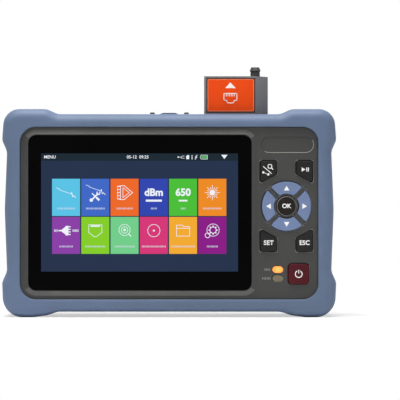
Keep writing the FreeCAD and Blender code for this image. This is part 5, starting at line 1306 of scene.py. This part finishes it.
@dataclass
class RemoteUnit:
    """The plug-on remote unit.

    Attributes:
        face: Y of the label's face.
        label: Left, lower, right and upper side of the label.
        edge: Label's edge that stays round its print, dark as painted shade of its seat.
        case: Y of the case's front.
        border: Width of the dark painted shadow line round the label, on the case.
        line: Pale line of the print from its side.
        ink: Thickness of the print.
        plug_x: Middle of the plug.
        plug_tip: Z of the plug's tip.
        blade: Width, depth and height of one of its blades.
        blade_pitch: Spacing of the blades.
        blade_y: Y of the blades.
        blade_rise: Middle of the blades above the plug's tip.
        screws: X and Z of the cover's screws.
        screw_seat: Y of their heads' seat.
    """

    face: float = -12.2
    label: tuple[float, float, float, float] = (20.85, 113.15, 47.05, 131.55)
    edge: float = 0.25
    case: float = -12.0
    border: float = 0.5
    line: float = 0.5
    ink: float = 0.04
    plug_x: float = 34.6
    plug_tip: float = 94.25
    blade: Triple = (0.34, 0.5, 5.2)
    blade_pitch: float = 1.02
    blade_y: float = 3.53
    blade_rise: float = 3.1
    screws: tuple[Point, ...] = ((23.55, 128.6), (50.4, 109.95))
    screw_seat: float = 10.7

    def build(self) -> None:
        """Dresses the unit, prints its label and adds the plug's contacts."""
        dress(REMOTE, "remote_case", "remote_cover")
        # The label's plate is dark: painted shade of the label's seat, which shows round its print.
        dress(LABEL_EDGE_SHADE, "remote_label")
        SMALL_SCREW.lay("remote_screws", self.screws, self.screw_seat, "remote")
        dress(CLEAR, "remote_plug")
        dress(BOARD_FLAT, "remote_board")
        dress(DECK, "remote_post")
        self.print_label()
        self.contacts()

    def print_label(self) -> None:
        """Prints the label's ground and its plain marks, and lays a dark painted shadow line round the
        label.
        """
        left, low, right, high = self.label
        ground = Print(self.face, self.ink)
        ground.plate(left + self.edge, low + self.edge, right - self.edge, high - self.edge)
        ground.done("label_ground", LABEL, "remote")
        # The dark border on the case is painted shadow round the label; the pale line is print.
        for name, finish, level, inset, width in (
                ("label_border", LABEL_EDGE_SHADE, self.case, -self.border / 2, self.border),
                ("label_line", LABEL_LINE, self.face - self.ink, self.line, 0.3)):
            outline = Print(level, 0.03)
            west, south, east, north = left + inset, low + inset, right - inset, high - inset
            outline.strokes([(west, south), (east, south), (east, north), (west, north)], width, closed=True)
            outline.done(name, finish, "remote")
        marks = Print(self.face - self.ink, self.ink, (left + right) / 2 - 0.2, (low + high) / 2 - 1.6)
        marks.dot(0.0, 6.6, 3.4, 3).scale = (1.0, 0.62, 1.0)
        marks.strokes(mirrored([(3.6, 2.6), (3.6, -1.2), (1.9, -1.2), (1.9, -2.6)]), 0.45, closed=True)
        for pin in range(6):
            marks.bar(pin * 0.9 - 2.25, 2.5, pin * 0.9 - 2.25, 1.0, 0.35)
        marks.done("label_marks", PAINT, "remote")

    def contacts(self) -> None:
        """Models one blade of the plug and repeats it eight times."""
        bpy.ops.mesh.primitive_cube_add(size=1)
        blade = bpy.context.object
        blade.scale = Vector(self.blade) * MM
        first = self.plug_x - (WIRES - 1) / 2 * self.blade_pitch
        blade.location = (first * MM, self.blade_y * MM, (self.plug_tip + self.blade_rise) * MM)
        put_modifier(blade, "BEVEL", width=0.05 * MM, segments=2)
        select([blade])
        bpy.ops.object.transform_apply()
        repeat(blade, WIRES, self.blade_pitch * MM)
        finish_piece(blade, "plug_blades", GOLD, "remote")


@dataclass
class Insides:
    """Boards, battery, optical module and loudspeaker.

    Attributes:
        board_xs: X of the main board's screws.
        board_zs: Heights of the main board's screws.
        board_seat: Y of their heads' seat.
        keypad_screws: X and Z of the key board's screws.
        keypad_seat: Y of their heads' seat.
    """

    board_xs: Point = (-78.65, 45.0)
    board_zs: Point = (21.5, 85.05)
    board_seat: float = -11.4
    keypad_screws: tuple[Point, ...] = ((64.45, 80.55), (64.45, 41.55), (51.6, 23.85), (78.8, 32.85))
    keypad_seat: float = -15.4

    def build(self) -> None:
        """Dresses what lies inside the housing."""
        dress(BOARD_FLAT, "main_board")
        places = [(x, z) for x in self.board_xs for z in self.board_zs]
        BOARD_SCREW.lay("board_screws", places, self.board_seat)
        SHORT_SCREW.lay("keypad_screws", self.keypad_screws, self.keypad_seat)
        dress(SLEEVE, "battery_pack")
        dress(GOLD, "battery_contacts")
        dress(MILLED, "optical_module")
        dress(SPEAKER, "speaker")


@dataclass
class Studio:
    """Plain pale floor, soft lamps and the camera at the photograph's angle.

    Attributes:
        middle: X and Z that the camera looks at, in mm.
        span: Width of the picture at the tester's face, in mm.
        distance: Camera's distance from the tester's face, in mm.
        sensor: Width of the camera's sensor, in mm.
        face: Y of the tester's face, in mm.
        aim: Height that the lamps point at, in metres.
        shade: Strength of the world's light where the world itself isn't seen.
        width: Width of the floor, in metres.
        fade: Distance at which the floor has turned white, in metres.
        fibre: Size of the paper's fibres, in mm.
    """

    middle: Point = (16.95, 64.45)
    span: float = 219.4
    distance: float = 1500.0
    sensor: float = 36.0
    face: float = -24.0
    aim: float = 0.06
    shade: float = 0.23
    width: float = 6.0
    fade: float = 0.8
    fibre: float = 10 / 3

    def build(self) -> None:
        """Sets up the floor, the world, the lamps and the camera."""
        self.floor()
        self.world()
        self.lamp("top_softbox", (-0.08, -0.16, 0.85), 0.5, 10.6)
        self.lamp("front_softbox", (-0.55, -1.2, 0.6), 0.8, 0.9)
        self.lamp("right_softbox", (0.8, -0.5, 0.45), 0.5, 0.5)
        self.lamp("rear_softbox", (0.3, 1.3, 0.7), 0.8, 3.4)
        self.camera()
        bpy.context.scene.view_settings.view_transform = "Standard"

    def floor(self) -> None:
        """A wide pale floor that shows white and keeps the tester's shadow."""
        bpy.ops.mesh.primitive_plane_add(size=self.width, location=(0, 0, 0))
        floor = bpy.context.object
        floor.name = "floor"
        paper = bpy.data.materials.new("studio_paper_white")
        nodes = Nodes(paper)
        tone = nodes.blend(nodes.noise(self.fibre, 2.0), "#FFFFFF", "#FBFBFB")
        sheet = nodes.add("BsdfPrincipled", {"Base Color": tone}, Roughness=0.9)
        near = nodes.add("Mapping", {"Vector": nodes.place}, Scale=(1 / self.fade,) * 3)
        fall = nodes.add("TexGradient", {"Vector": near.outputs[0]}, gradient_type="SPHERICAL")
        share = nodes.add("MapRange", {"Value": fall.outputs["Fac"]}, From_Min=0.3, From_Max=0.85,
                          To_Min=1.0, To_Max=0.55)
        seen = nodes.add("Math", {0: nodes.add("LightPath").outputs["Is Camera Ray"], 1: share.outputs[0]},
                         operation="MULTIPLY")
        white = nodes.add("Emission", Color=(1.0, 1.0, 1.0, 1.0), Strength=1.0)
        both = nodes.add("MixShader", {0: seen.outputs[0], 1: sheet.outputs[0], 2: white.outputs[0]})
        nodes.add("OutputMaterial", {"Surface": both.outputs[0]})
        floor.data.materials.append(paper)

    def world(self) -> None:
        """White to the camera and to reflections, a soft grey light to everything else."""
        world = bpy.data.worlds.new("studio")
        bpy.context.scene.world = world
        nodes = Nodes(world)
        path = nodes.add("LightPath")
        seen = path.outputs["Is Camera Ray"]
        for ray in ("Is Glossy Ray", "Is Transmission Ray"):
            seen = nodes.add("Math", {0: seen, 1: path.outputs[ray]}, operation="MAXIMUM").outputs[0]
        strength = nodes.add("MapRange", {"Value": seen}, To_Min=self.shade, To_Max=1.0)
        back = nodes.add("Background", {"Strength": strength.outputs[0]}, Color=(1.0, 1.0, 1.0, 1.0))
        nodes.add("OutputWorld", {"Surface": back.outputs[0]})

    def lamp(self, name: str, place: Triple, size: float, power: float) -> None:
        """An area lamp that faces the tester.

        Args:
            name: The lamp's name.
            place: Its place in metres.
            size: Its side in metres.
            power: Its power in watts.
        """
        bpy.ops.object.light_add(type="AREA", location=place)
        lamp = bpy.context.object
        lamp.name = name
        lamp.data.size = size
        lamp.data.energy = power
        aim = Vector((0, 0, self.aim)) - Vector(place)
        lamp.rotation_euler = aim.to_track_quat("-Z", "Y").to_euler()

    def camera(self) -> None:
        """A long lens square to the tester's face."""
        place = Vector((self.middle[0], self.face - self.distance, self.middle[1])) * MM
        bpy.ops.object.camera_add(location=place, rotation=(FACING_VIEWER, 0.0, 0.0))
        camera = bpy.context.object
        camera.data.sensor_width = self.sensor
        camera.data.lens = self.sensor * self.distance / self.span
        camera.data.clip_end = 20.0
        bpy.context.scene.camera = camera


def main() -> None:
    """Builds the sub-assemblies in order."""
    logging.basicConfig(level=logging.INFO, format="%(name)s: %(message)s", stream=sys.stdout)
    for assembly in (Bumper(), Housing(), Screen(), Keypad(), PortDeck(), RemoteUnit(), Insides(), Studio()):
        assembly.build()
        log.info("%s is done", type(assembly).__name__)


if __name__ == "__main__":
    main()
